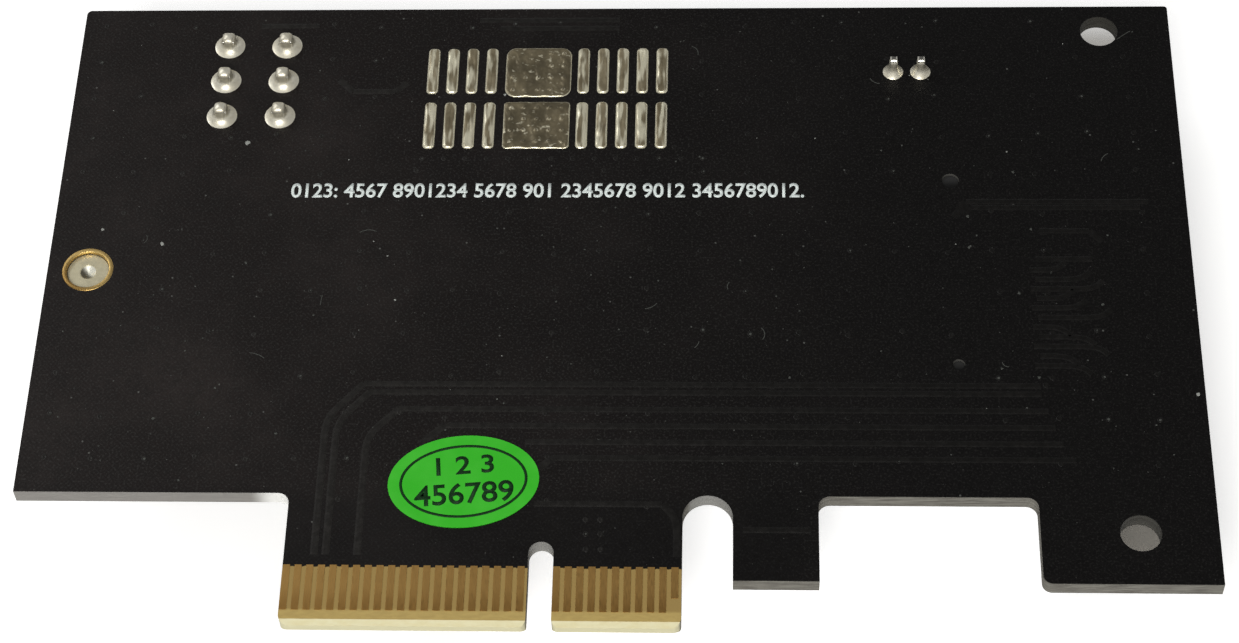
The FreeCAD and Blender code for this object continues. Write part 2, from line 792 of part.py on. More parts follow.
def make_power_header():
    """Right-angle header; its mouth faces the free end of the card."""
    rear = -size("power_rear_gap")
    mouth = rear - size("power_depth")
    pitch = size("power_pitch")
    half_width = power_width / 2
    height = pitch * POWER_ROWS + size("power_shell") * 2
    lower_row = size("power_shell") + pitch / 2
    pin = size("power_pin")

    housing = new_body("PowerHousing")
    block = sketch_on(housing, "XY_Plane")
    rectangle(block, mouth, rear, -half_width, half_width)
    pad(housing, block, height)
    latch_start = mouth + size("latch_start")
    latch = sketch_on(housing, "XZ_Plane")
    polygon(latch, [
        (latch_start, height), (latch_start + size("latch_length"), height),
        (latch_start + size("latch_length"), height + size("latch_height")),
        (latch_start + size("latch_length") * 0.6, height + size("latch_height")),
    ])
    pad(housing, latch, size("latch_width"), symmetric=True)

    # cells: alternate ones have two bevelled corners, as a mating key
    bevel = size("power_cell_bevel")
    half_cell = size("power_cell") / 2
    cells = sketch_on(housing, "YZ_Plane", mouth)
    pin_holes = sketch_on(housing, "YZ_Plane", mouth)
    for row in range(POWER_ROWS):
        for column in range(POWER_COLUMNS):
            y = pitch * (column - (POWER_COLUMNS - 1) / 2)
            z = lower_row + pitch * row
            if (row + column) % 2:
                rectangle(cells, y - half_cell, y + half_cell, z - half_cell, z + half_cell)
            else:
                polygon(cells, [
                    (y - half_cell, z - half_cell), (y + half_cell, z - half_cell),
                    (y + half_cell, z + half_cell - bevel), (y + half_cell - bevel, z + half_cell),
                    (y - half_cell + bevel, z + half_cell), (y - half_cell, z + half_cell - bevel),
                ])
            centred(pin_holes, y, z, pin, pin)
    pocket(housing, cells, size("power_cell_depth"), reverse=True)
    pocket(housing, pin_holes, reverse=True)
    place(housing, power_x, power_y, -half_board, turn_over())
    node(housing, "power_header_housing")

    pins = new_body("PowerPins")
    half_pin = pin / 2
    bend = size("power_pin_bend")
    tip = mouth + size("power_pin_recess")
    stub_end = -size("board_thickness") - size("power_stub")
    first_y = -pitch * ((POWER_COLUMNS - 1) / 2)
    for row in range(POWER_ROWS):
        down = size("power_row_pitch") * row
        z = lower_row + pitch * row
        side = sketch_on(pins, "XZ_Plane", -first_y)
        polygon(side, [
            (tip, z - half_pin), (down - half_pin - bend, z - half_pin),
            (down - half_pin, z - half_pin - bend), (down - half_pin, stub_end), (down + half_pin, stub_end),
            (down + half_pin, z + half_pin - bend * 2), (down + half_pin - bend * 2, z + half_pin),
            (tip, z + half_pin),
        ])
        column = pad(pins, side, pin, symmetric=True)
        repeat(pins, column, "Y_Axis", pitch, POWER_COLUMNS)
    doc.recompute()
    tips = end_edges(pins.Tip.Shape, "XMin") + end_edges(pins.Tip.Shape, "ZMin")
    dress_edges(pins, "Chamfer", tips, "Size", size("power_pin_bevel"))
    place(pins, power_x, power_y, -half_board, turn_over())
    node(pins, "power_header_pins")


def make_joints(label, x, y, joint, neck, height, pin, first, second=None):
    """Solder that stands as a cone round each pin, hollow-sided where it is a wide one.

    The first and second directions of the pattern are (role, pitch, count).
    """
    solder = new_body("Solder")
    profile = sketch_on(solder, "XZ_Plane")
    crown = half_board + height
    slope = [(joint / 2, half_board), (neck / 2, crown)]
    if joint.value > height.value * 2:
        slope.insert(1, (neck / 2 + (joint - neck) / 6, half_board + height * 0.4))
    polygon(profile, [(0.0, half_board), *slope, (0.0, crown)])
    revolve(solder, profile)
    socket = sketch_on(solder, "XY_Plane")
    centred(socket, Size(0), Size(0), pin, pin)
    pocket(solder, socket, symmetric=True)
    doc.recompute()
    whole = repeat(solder, solder.Tip, *first, second)
    whole.TransformMode = "Whole shape"
    place(solder, x, y)
    node(solder, label)


def make_led_header():
    """Two square posts in a break-off base."""
    pitch = size("led_pitch")
    corner = size("led_corner")
    pin = size("led_pin")
    base = new_body("LedBase")
    outline = sketch_on(base, "XY_Plane")
    half = pitch / 2
    polygon(outline, [
        (-pitch, -half + corner), (-pitch + corner, -half), (-corner, -half), (0.0, -half + corner),
        (corner, -half), (pitch - corner, -half), (pitch, -half + corner), (pitch, half - corner),
        (pitch - corner, half), (corner, half), (0.0, half - corner), (-corner, half),
        (-pitch + corner, half), (-pitch, half - corner),
    ])
    pad(base, outline, pitch)
    sockets = sketch_on(base, "XY_Plane")
    for side in (-1, 1):
        centred(sockets, half * side, Size(0), pin, pin)
    pocket(base, sockets, symmetric=True)
    place(base, led_x, led_y, -half_board, turn_over())
    node(base, "led_header_base")

    posts = new_body("LedPins")
    post = sketch_on(posts, "XY_Plane", -size("board_thickness") - size("led_stub"))
    for side in (-1, 1):
        centred(post, half * side, Size(0), pin, pin)
    length = size("board_thickness") + size("led_stub") + pitch + size("led_pin_length")
    pad(posts, post, length)
    doc.recompute()
    tips = end_edges(posts.Tip.Shape, "ZMin") + end_edges(posts.Tip.Shape, "ZMax")
    dress_edges(posts, "Chamfer", tips, "Size", size("led_pin_bevel"))
    place(posts, led_x, led_y, -half_board, turn_over())
    node(posts, "led_header_pins")


def make_can_capacitors():
    """Surface-mounted can capacitors: two by the converter, one by the slot's power contacts."""
    half_base = (size("can_diameter") + size("can_base_margin")) / 2
    first_x = controller_end + size("controller_to_can") + half_base
    row_y = size("board_top") - size("can_drop")
    places = [
        (first_x, row_y),
        (first_x + half_base * 2 + size("can_spacing"), row_y),
        (tab_right - size("slot_can_inset"), size("board_foot") + size("slot_can_rise")),
    ]
    thickness = size("can_terminal_thickness")
    base_top = thickness + size("can_base_height")

    base = new_body("CanBase")
    outline = sketch_on(base, "XY_Plane", thickness)
    cut = size("can_base_bevel")
    polygon(outline, [
        (-half_base, -half_base), (half_base - cut, -half_base), (half_base, -half_base + cut),
        (half_base, half_base - cut), (half_base - cut, half_base), (-half_base, half_base),
    ])
    pad(base, outline, size("can_base_height"))
    group("capacitor_bases", base, places, quarter_turns=1)

    can = new_body("Can")
    radius = size("can_diameter") / 2
    top = size("can_top")
    profile = sketch_on(can, "XZ_Plane")
    polygon(profile, [(0.0, base_top), (radius, base_top), (radius, top), (0.0, top)])
    revolve(can, profile)
    group("capacitor_cans", can, places, quarter_turns=1)

    terminals = new_body("CanTerminals")
    strips = sketch_on(terminals, "XY_Plane")
    half_width = size("can_terminal_width") / 2
    inner = size("can_terminal_gap") / 2
    outer = half_base + size("can_terminal_reach")
    rectangle(strips, -outer, -inner, -half_width, half_width)
    rectangle(strips, inner, outer, -half_width, half_width)
    pad(terminals, strips, thickness)
    group("capacitor_terminals", terminals, places, quarter_turns=1)


def make_transistors():
    """Two flat power transistors, each over one heat pad."""
    places = [(size("heat_centre"), upper_pad_y), (size("heat_centre"), lower_pad_y)]
    half_length = size("transistor_length") / 2
    frame = size("lead_frame")

    case = new_body("TransistorCase")
    outline = sketch_on(case, "XY_Plane", frame)
    centred(outline, Size(0), Size(0), size("transistor_length"), size("transistor_width"))
    pad(case, outline, size("transistor_height"))
    group("transistor_bodies", case, places)

    drain = new_body("DrainTab")
    plate = sketch_on(drain, "XY_Plane")
    edge = -half_length - size("lead_reach")
    half_drain = size("drain_width") / 2
    rectangle(plate, edge, edge + size("drain_length"), -half_drain, half_drain)
    pad(drain, plate, frame)
    group("transistor_tabs", drain, places)

    sources = new_body("SourceLeads")
    lead = sketch_on(sources, "XY_Plane")
    end = half_length + size("lead_reach")
    first = -size("source_pitch") * ((SOURCE_LEADS - 1) / 2)
    half_lead = size("source_width") / 2
    rectangle(lead, end - size("source_length"), end, first - half_lead, first + half_lead)
    strip = pad(sources, lead, frame)
    repeat(sources, strip, "Y_Axis", size("source_pitch"), SOURCE_LEADS)
    group("transistor_leads", sources, places)


def make_inductor():
    """Moulded power inductor between the power header and the transistors."""
    side = size("inductor_side")
    thickness = size("inductor_terminal_thickness")
    drain_end = size("heat_centre") - size("transistor_length") / 2 - size("lead_reach")
    x = drain_end - size("inductor_to_drain") - thickness - side / 2
    y = size("board_top") - size("inductor_drop")

    core = new_body("InductorCore")
    block = sketch_on(core, "XY_Plane")
    centred(block, Size(0), Size(0), side, side)
    pad(core, block, size("inductor_height"))
    corners = [(side / 2 * across, side / 2 * up) for across in (-1, 1) for up in (-1, 1)]
    doc.recompute()
    posts = upright_edges(core.Tip.Shape, corners)
    dress_edges(core, "Chamfer", posts, "Size", size("inductor_bevel"))
    top = end_edges(core.Tip.Shape, "ZMax")
    dress_edges(core, "Chamfer", top, "Size", size("inductor_bevel") / 4)
    place(core, x, y, -half_board, turn_over())
    node(core, "inductor_core")

    straps = new_body("InductorStraps")
    angle = sketch_on(straps, "XZ_Plane")
    for direction in (-1, 1):
        face = side / 2 * direction
        rectangle(angle, face, face + thickness * direction, 0.0, size("inductor_terminal_height"))
    pad(straps, angle, size("inductor_terminal_width"), symmetric=True)
    place(straps, x, y, -half_board, turn_over())
    node(straps, "inductor_terminals")


def make_controller():
    """Eight-lead converter controller beside the transistors."""
    half_width = size("controller_width") / 2
    reach = size("controller_lead_reach")
    lift = size("controller_lift")
    leaf = size("controller_lead_thickness")
    exit_height = size("controller_lead_exit")
    x = controller_end - reach - half_width
    y = size("board_top") - size("controller_drop")

    case = new_body("ControllerCase")
    block = sketch_on(case, "XY_Plane", lift)
    centred(block, Size(0), Size(0), size("controller_width"), size("controller_length"))
    pad(case, block, size("controller_height"))
    doc.recompute()
    ridge = [
        name for name in end_edges(case.Tip.Shape, "ZMax")
        if case.Tip.Shape.getElement(name).BoundBox.YLength > half_width.value
    ]
    dress_edges(case, "Chamfer", ridge, "Size", lift * 2)
    place(case, x, y, -half_board, turn_over())
    node(case, "controller_body")

    leads = new_body("ControllerLeads")
    first = -size("controller_lead_pitch") * ((CONTROLLER_LEADS - 1) / 2)
    for side in (-1, 1):
        knee = half_width + reach / 3
        toe = half_width + reach
        bend = sketch_on(leads, "XZ_Plane", -first)
        points = [
            (half_width, exit_height), (knee, exit_height), (knee + leaf / 2, 0.0), (toe, 0.0),
            (toe, leaf), (knee + leaf * 1.5, leaf), (knee + leaf, exit_height + leaf),
            (half_width, exit_height + leaf),
        ]
        polygon(bend, [(across * side, up) for across, up in points])
        lead = pad(leads, bend, size("controller_lead_width"), symmetric=True)
        repeat(leads, lead, "Y_Axis", size("controller_lead_pitch"), CONTROLLER_LEADS)
    place(leads, x, y, -half_board, turn_over())
    node(leads, "controller_leads")


def make_chips(label, kind, places, quarter_turns=0):
    """Chip parts of one kind: the bodies in one node and their metal ends in another."""
    length, width = size(kind + "_length"), size(kind + "_width")
    height, end = size(kind + "_height"), size(kind + "_end")
    margin = size("cap_margin")

    core = new_body("ChipCore")
    block = sketch_on(core, "XY_Plane", margin)
    centred(block, Size(0), Size(0), length - end * 2, width)
    pad(core, block, height - margin * 2)
    group(label, core, places, quarter_turns)

    ends = new_body("ChipEnds")
    caps = sketch_on(ends, "XY_Plane")
    half_width = width / 2 + margin
    rectangle(caps, -length / 2, end - length / 2, -half_width, half_width)
    rectangle(caps, length / 2 - end, length / 2, -half_width, half_width)
    pad(ends, caps, height)
    group(label.rstrip("s") + "_ends", ends, places, quarter_turns)


def make_all_chips():
    half_width = size("capacitor_width") / 2 + size("cap_margin")
    x = socket_x + size("socket_back") + size("tail_length") + size("socket_to_capacitor") + half_width
    first = size("drive_axis") - size("capacitor_pitch") * ((CHIP_CAPACITORS - 1) / 2)
    column = [(x, first + size("capacitor_pitch") * index) for index in range(CHIP_CAPACITORS)]
    make_chips("chip_capacitors", "capacitor", column, quarter_turns=1)

    start = -size("coupling_inset")
    row = [
        (start - size("coupling_pitch") * index, size("coupling_rise"))
        for index in range(COUPLING_CAPACITORS)
    ]
    make_chips("coupling_capacitors", "coupling", row, quarter_turns=1)

    start = source_end + size("source_to_resistor")
    y = size("board_top") - size("resistor_drop")
    row = [(start + size("resistor_pitch") * index, y) for index in range(CHIP_RESISTORS)]
    make_chips("chip_resistors", "resistor", row, quarter_turns=1)

    half_width = size("lamp_width") / 2 + size("cap_margin")
    lamp = [(led_x + size("led_pitch") + size("header_to_lamp") + half_width, led_y)]
    make_chips("activity_led", "lamp", lamp, quarter_turns=1)


def make_sticker():
    """Oval inspection sticker on the solder side."""
    oval = doc.addObject("Part::Ellipse", "Oval")
    oval.MajorRadius = SIZES["sticker_length"] / 2
    oval.MinorRadius = SIZES["sticker_width"] / 2
    bind(oval, "MajorRadius", size("sticker_length") / 2)
    bind(oval, "MinorRadius", size("sticker_width") / 2)
    sticker = doc.addObject("Part::Extrusion", "Sticker")
    sticker.Base = oval
    sticker.DirMode = "Custom"
    sticker.Dir = V(0, 0, 1)
    sticker.Solid = True
    sticker.LengthFwd = SIZES["sticker_thickness"]
    bind(sticker, "LengthFwd", size("sticker_thickness"))
    turn = FreeCAD.Rotation(V(0, 0, 1), SIZES["sticker_turn"])
    place(sticker, size("sticker_across"), size("sticker_up"), half_board, turn)
    bind(sticker, ".Placement.Rotation.Angle", size("sticker_turn"))
    node(sticker, "inspection_sticker")


make_circuit_board()
make_all_edge_contacts()
make_heat_areas()
make_standoff()
make_socket()
make_power_header()
power_first_y = power_y - size("power_pitch") * ((POWER_COLUMNS - 1) / 2)
make_joints(
    "power_header_solder", power_x, power_first_y, size("power_joint"),
    size("power_joint_neck"), size("power_joint_height"), size("power_pin"),
    ("X_Axis", size("power_row_pitch"), POWER_ROWS), ("Y_Axis", size("power_pitch"), POWER_COLUMNS),
)
make_led_header()
make_joints(
    "led_header_solder", led_x - size("led_pitch") / 2, led_y, size("led_joint"),
    size("led_joint_neck"), size("led_joint_height"), size("led_pin"), ("X_Axis", size("led_pitch"), 2),
)
make_can_capacitors()
make_transistors()
make_inductor()
make_controller()
make_all_chips()
make_sticker()
doc.recompute()

for item in doc.Objects:
    if "Invalid" in item.State or "Error" in item.State:
        raise RuntimeError("%s (%s) failed to compute" % (item.Name, item.Label))
    if item.TypeId == "PartDesign::Pocket":
        before = item.BaseFeature.Shape.Volume
        if item.Shape.Volume > before - 1e-6:
            raise RuntimeError("%s cuts nothing" % item.Name)

os.makedirs("parts", exist_ok=True)
for item in nodes:
    if item.Shape.isNull() or not item.Shape.isValid() or not item.Shape.Solids:
        raise RuntimeError("%s has no sound shape" % item.Label)
    item.Shape.exportStep(os.path.join("parts", item.Label + ".step"))
    box = item.Shape.BoundBox
    print("%-28s %3d solids  x %7.2f %7.2f  y %7.2f %7.2f  z %7.2f %7.2f" % (
        item.Label, len(item.Shape.Solids), box.XMin, box.XMax, box.YMin, box.YMax, box.ZMin, box.ZMax))
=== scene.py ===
import math
import random

import bmesh
import bpy
from mathutils import Euler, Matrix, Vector, noise


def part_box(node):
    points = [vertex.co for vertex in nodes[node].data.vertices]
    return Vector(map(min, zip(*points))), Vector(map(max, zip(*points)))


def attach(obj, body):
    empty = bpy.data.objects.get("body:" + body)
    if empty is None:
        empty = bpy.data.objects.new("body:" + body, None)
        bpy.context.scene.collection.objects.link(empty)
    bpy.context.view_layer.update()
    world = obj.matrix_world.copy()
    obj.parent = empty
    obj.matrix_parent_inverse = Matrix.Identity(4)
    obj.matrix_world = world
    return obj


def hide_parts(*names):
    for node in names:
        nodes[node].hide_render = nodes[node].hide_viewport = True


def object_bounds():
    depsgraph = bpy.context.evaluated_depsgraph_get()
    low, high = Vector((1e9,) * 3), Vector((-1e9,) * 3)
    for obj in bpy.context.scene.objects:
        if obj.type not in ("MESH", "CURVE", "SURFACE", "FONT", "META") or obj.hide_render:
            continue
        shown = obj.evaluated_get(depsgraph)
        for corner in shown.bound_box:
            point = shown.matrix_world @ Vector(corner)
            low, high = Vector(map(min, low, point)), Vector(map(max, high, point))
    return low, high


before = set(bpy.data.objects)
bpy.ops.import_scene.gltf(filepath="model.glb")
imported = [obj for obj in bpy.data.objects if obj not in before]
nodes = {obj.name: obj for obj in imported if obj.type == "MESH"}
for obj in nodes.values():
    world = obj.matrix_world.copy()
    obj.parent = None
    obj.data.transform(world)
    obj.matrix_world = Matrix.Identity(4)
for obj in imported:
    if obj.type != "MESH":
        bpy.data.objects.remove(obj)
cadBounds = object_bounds()
mm = 0.001
frontFace, backFace = [corner.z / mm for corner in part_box("circuit_board")]
print("frame loaded:", len(nodes), "nodes")


def chosen(look, names):
    return [look[name] for name in names.split()]


class Graph:
    # a node tree with short ways to add to it
    def __init__(self, tree):
        self.tree = tree

    def put(self, socket, value):
        if isinstance(value, bpy.types.NodeSocket):
            self.tree.links.new(value, socket)
        elif socket.type == "RGBA" and len(value) == 3:
            socket.default_value = (*value, 1.0)
        else:
            socket.default_value = value

    def add(self, kind, *values, **settings):
        made = self.tree.nodes.new(kind)
        for setting, value in settings.items():
            setattr(made, setting, value)
        for socket, value in zip(made.inputs, values):
            self.put(socket, value)
        return made

    def number(self, operation, a, b=0.0, c=0.0):
        return self.add("ShaderNodeMath", a, b, c, operation=operation).outputs[0]

    def times(self, a, b):
        return self.number("MULTIPLY", a, b)

    def plus(self, a, b):
        return self.number("ADD", a, b)

    def larger(self, a, b):
        return self.number("MAXIMUM", a, b)

    def minus(self, a, b):
        return self.number("SUBTRACT", a, b)

    def unsigned(self, value):
        return self.number("ABSOLUTE", value)

    def vector(self, operation, a, b):
        made = self.add("ShaderNodeVectorMath", a, b, operation=operation)
        return made.outputs["Value" if operation == "DISTANCE" else "Vector"]

    def split(self, value):
        return self.add("ShaderNodeSeparateXYZ", value).outputs

    def between(self, value, low, high, to0=0.0, to1=1.0, kind="SMOOTHSTEP"):
        return self.add("ShaderNodeMapRange", value, low, high, to0, to1, interpolation_type=kind).outputs[0]

    def within(self, value, rise, fall):
        # 1 between two soft borders, 0 outside them
        return self.times(self.between(value, *rise), self.between(value, *fall))

    def blend(self, factor, a, b, kind="RGBA"):
        # the node's first input and its result have other numbers for colours than for plain values
        first, result = (6, 2) if kind == "RGBA" else (2, 0)
        made = self.add("ShaderNodeMix", factor, data_type=kind)
        self.put(made.inputs[first], a)
        self.put(made.inputs[first + 1], b)
        return made.outputs[result]

    def layers(self, base, *layers):
        # (factor, colour) pairs, laid over a base colour in turn
        for factor, colour in layers:
            base = self.blend(factor, base, colour)
        return base


class Finish(Graph):
    # a Principled material; lengths in its graph are millimetres on the card
    def __init__(self, name, metal=0.0, specular=0.5):
        self.material = bpy.data.materials.new(name)
        self.material.use_nodes = True
        super().__init__(self.material.node_tree)
        self.shader = self.tree.nodes["Principled BSDF"]
        self.set("Metallic", metal)
        self.set("Specular IOR Level", specular)
        place = self.add("ShaderNodeTexCoord").outputs["Object"]
        self.point = self.vector("MULTIPLY", place, (1000.0, 1000.0, 1000.0))
        self.x, self.y, self.z = self.split(self.point)[0:3]

    def set(self, name, value):
        self.put(self.shader.inputs[name], value)

    def geometry(self, output):
        return self.split(self.add("ShaderNodeNewGeometry").outputs[output])

    def nearTo(self, x, y, inner, outer):
        # 1 inside a round spot on the card, 0 outside it
        return self.between(self.vector("DISTANCE", self.point, (x, y, 0.0)), inner, outer, 1.0, 0.0)

    def grain(self, size, detail=3.0, rough=0.6, stretch=None):
        place = self.vector("MULTIPLY", self.point, stretch) if stretch else self.point
        return self.add("ShaderNodeTexNoise", place, 0.0, 1.0 / size, detail, rough).outputs[0]

    def colour(self, base, *layers):
        self.set("Base Color", self.layers(base, *layers))

    def over(self, factor, colour):
        # paints another colour over the one already set
        self.colour(self.shader.inputs["Base Color"].links[0].from_socket, (factor, colour))
        return self

    def roughness(self, pattern, low, high, smooth, rough):
        self.set("Roughness", self.between(pattern, low, high, smooth, rough))

    def bump(self, height, depth, strength=0.5):
        made = self.add("ShaderNodeBump")
        made.inputs["Strength"].default_value = strength
        made.inputs["Distance"].default_value = depth * mm
        self.put(made.inputs["Height"], height)
        self.set("Normal", made.outputs[0])
        return self

    def skin(self, pattern, rough, depth, strength=0.5):
        # roughness and bump from one pattern
        self.roughness(pattern, 0.2, 0.8, *rough)
        return self.bump(pattern, depth, strength)


def meshOf(name, build):
    # the mesh that a function builds
    mesh = bpy.data.meshes.new(name)
    work = bmesh.new()
    build(work)
    work.to_mesh(mesh)
    work.free()
    return mesh


def linked(name, data):
    made = bpy.data.objects.new(name, data)
    bpy.context.scene.collection.objects.link(made)
    return made


def settle(name, mesh, finish):
    # one object that rides on the card
    piece = linked(name, mesh)
    piece.data.materials.append(finishes[finish].material)
    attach(piece, "root")
    return piece


def newPiece(name, build, finish, replaces=(), smooth=True):
    def buildFacingOut(work):
        build(work)
        bmesh.ops.recalc_face_normals(work, faces=work.faces)

    mesh = meshOf(name, buildFacingOut)
    for face in mesh.polygons:
        face.use_smooth = smooth
    piece = settle(name, mesh, finish)
    if replaces:
        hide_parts(*replaces)


def spanOf(low, high):
    # middle x and y, half sizes x and y, and low and high z of a box, in millimetres
    return ((low.x + high.x) / 2 / mm, (low.y + high.y) / 2 / mm,
            (high.x - low.x) / 2 / mm, (high.y - low.y) / 2 / mm, low.z / mm, high.z / mm)


def islands(nodeName):
    # spans of the separate solids in one CAD node, left to right then upward
    work = bmesh.new()
    work.from_mesh(nodes[nodeName].data)
    bmesh.ops.remove_doubles(work, verts=work.verts, dist=1e-6)
    seen = set()
    boxes = []
    for start in work.verts:
        if start in seen:
            continue
        seen.add(start)
        waiting = [start]
        group = []
        while waiting:
            vert = waiting.pop()
            group.append(vert.co.copy())
            for edge in vert.link_edges:
                other = edge.other_vert(vert)
                if other not in seen:
                    seen.add(other)
                    waiting.append(other)
        boxes.append([Vector([pick(point[axis] for point in group) for axis in range(3)])
                      for pick in (min, max)])
    work.free()
    boxes.sort(key=lambda pair: (round(pair[0].x, 5), round(pair[0].y, 5)))
    return [spanOf(*pair) for pair in boxes]


def inMetres(points):
    return [tuple(part * mm for part in point) for point in points]


def loopsToFaces(work, loops, closeLast=True, closeFirst=False):
    # skins closed rings of points in millimetres, each with the same count, one to the next
    rings = [[work.verts.new(point) for point in inMetres(loop)] for loop in loops]
    for lower, upper in zip(rings, rings[1:]):
        count = len(lower)
        for i in range(count):
            work.faces.new((lower[i], lower[(i + 1) % count], upper[(i + 1) % count], upper[i]))
    if closeLast:
        work.faces.new(rings[-1])
    if closeFirst:
        work.faces.new(list(reversed(rings[0])))


def stack(work, outline, profile, face=0.0, up=1, **closed):
    # a ring of outline(size) for each (size, height) of a profile; up is -1 below the component face
    loops = [[(x, y, face + up * height) for x, y in outline(size)] for size, height in profile]
    loopsToFaces(work, loops, **closed)


def roundedLoop(centreX, centreY, halfX, halfY, radius, steps, sideSteps):
    # points round a rounded rectangle, evenly spread on each side and corner
    radius = min(radius, halfX * 0.999, halfY * 0.999)
    corners = [(1, 1, 0.0), (-1, 1, 90.0), (-1, -1, 180.0), (1, -1, 270.0)]

    def cornerPoint(number, share):
        signX, signY, start = corners[number % 4]
        angle = math.radians(start + 90.0 * share)
        return (centreX + signX * (halfX - radius) + radius * math.cos(angle),
                centreY + signY * (halfY - radius) + radius * math.sin(angle))

    points = []
    for number in range(4):
        points += [cornerPoint(number, step / steps) for step in range(steps + 1)]
        last = points[-1]
        ahead = cornerPoint(number + 1, 0.0)
        for step in range(1, sideSteps):
            share = step / sideSteps
            points.append((last[0] + (ahead[0] - last[0]) * share, last[1] + (ahead[1] - last[1]) * share))
    return points


def ribbon(work, points, width, low, high, slope):
    # a flat raised line through points in millimetres, with mitred corners and sloped sides
    points = [Vector(point) for point in inMetres(points)]
    width, low, high, slope = inMetres([(width, low, high, slope)])[0]
    ways = [(after - here).normalized() for here, after in zip(points, points[1:])]
    sections = []
    for here, arrive, leave in zip(points, ways[:1] + ways, ways + ways[-1:]):
        along = (arrive + leave).normalized()
        side = Vector((-along.y, along.x))
        stretch = 1.0 / max(side.dot(Vector((-arrive.y, arrive.x))), 0.5)
        outer = side * (width / 2 + slope) * stretch
        inner = side * (width / 2) * stretch
        sections.append([work.verts.new((*(here + offset), z)) for offset, z in (
            (-outer, low), (-inner, high), (inner, high), (outer, low))])
    for first, second in zip(sections, sections[1:]):
        for k in range(3):
            work.faces.new((first[k], first[k + 1], second[k + 1], second[k]))
    work.faces.new(sections[0])
    work.faces.new(list(reversed(sections[-1])))


def eased(points, reach):
    # the same line with its corners rounded off
    made = [points[0]]
    for before, here, after in zip(points, points[1:], points[2:]):
        here = Vector(here)
        start, end = [here + way * min(reach / way.length, 0.5)
                      for way in (Vector(before) - here, Vector(after) - here)]
        made += [tuple(start.lerp(here, t).lerp(here.lerp(end, t), t)) for t in (0.0, 0.25, 0.5, 0.75, 1.0)]
    return made + [points[-1]]


def circle(x, y, radius, steps):
    angles = [math.tau * i / steps for i in range(steps)]
    return [(x + radius * math.cos(angle), y + radius * math.sin(angle)) for angle in angles]


def turned(x, y, dx, dy, angle):
    # the place of an offset from a point, turned by an angle
    return x + dx * math.cos(angle) - dy * math.sin(angle), y + dx * math.sin(angle) + dy * math.cos(angle)


def lathe(work, x, y, steps, profile, *face, **closed):
    # a round stack about a point on the card
    stack(work, lambda radius: circle(x, y, radius, steps), profile, *face, **closed)


# solder mask over the laminate, with its bare edges and the bare strip round the contacts
maskLook = {
    # left and right: the mask's colour, painted lighter on the left as a sheen; the colour after them is a
    # painted sheen laid in clouds on the left
    "left": (0.0092, 0.0066, 0.0060), "right": (0.0026, 0.0022, 0.0022), "paintedSheen": (0.0260, 0.0198, 0.0180),
    "wall": (0.238, 0.230, 0.200), "wallDark": (0.12, 0.112, 0.098), "rim": (0.012, 0.010, 0.009),
    # walls: painted light at the step and the notch arches, a painted highlight on the step's corner, painted
    # shade round the bracket and peg holes
    "stepWallLit": (0.305, 0.293, 0.280), "archWallLit": (0.35, 0.35, 0.34), "cornerHighlight": (0.88, 0.88, 0.86),
    "holes": ((50.55, 63.6), (50.55, 9.25)), "holeReach": 2.3, "holeShade": 0.80,
    "pegHoles": ((36.08, 46.1), (36.08, 26.1)), "pegReach": 1.6,
    "notch": (-2.6, 2.6), "relief": (12.3, 23.4), "tab": (-22.3, 12.3), "step": (-25.6, -21.0),
    "laminate": (0.455, 0.335, 0.115), "laminateWorn": (0.40, 0.29, 0.10),
    "laminateShade": (0.295, 0.200, 0.066),
    "bevel": (0.69, 0.65, 0.43), "bevelShade": (0.66, 0.60, 0.36),
    "maskFoot": 5.45,       # mm above the tab's edge where the mask starts
    "dust": ((1.9, 0.060, 0.55), (1.1, 0.055, 0.62), (0.6, 0.060, 0.74)),   # cell, reach and empty share
    "weave": (0.42, 0.46),  # pitch of the glass cloth under the mask, mm
}


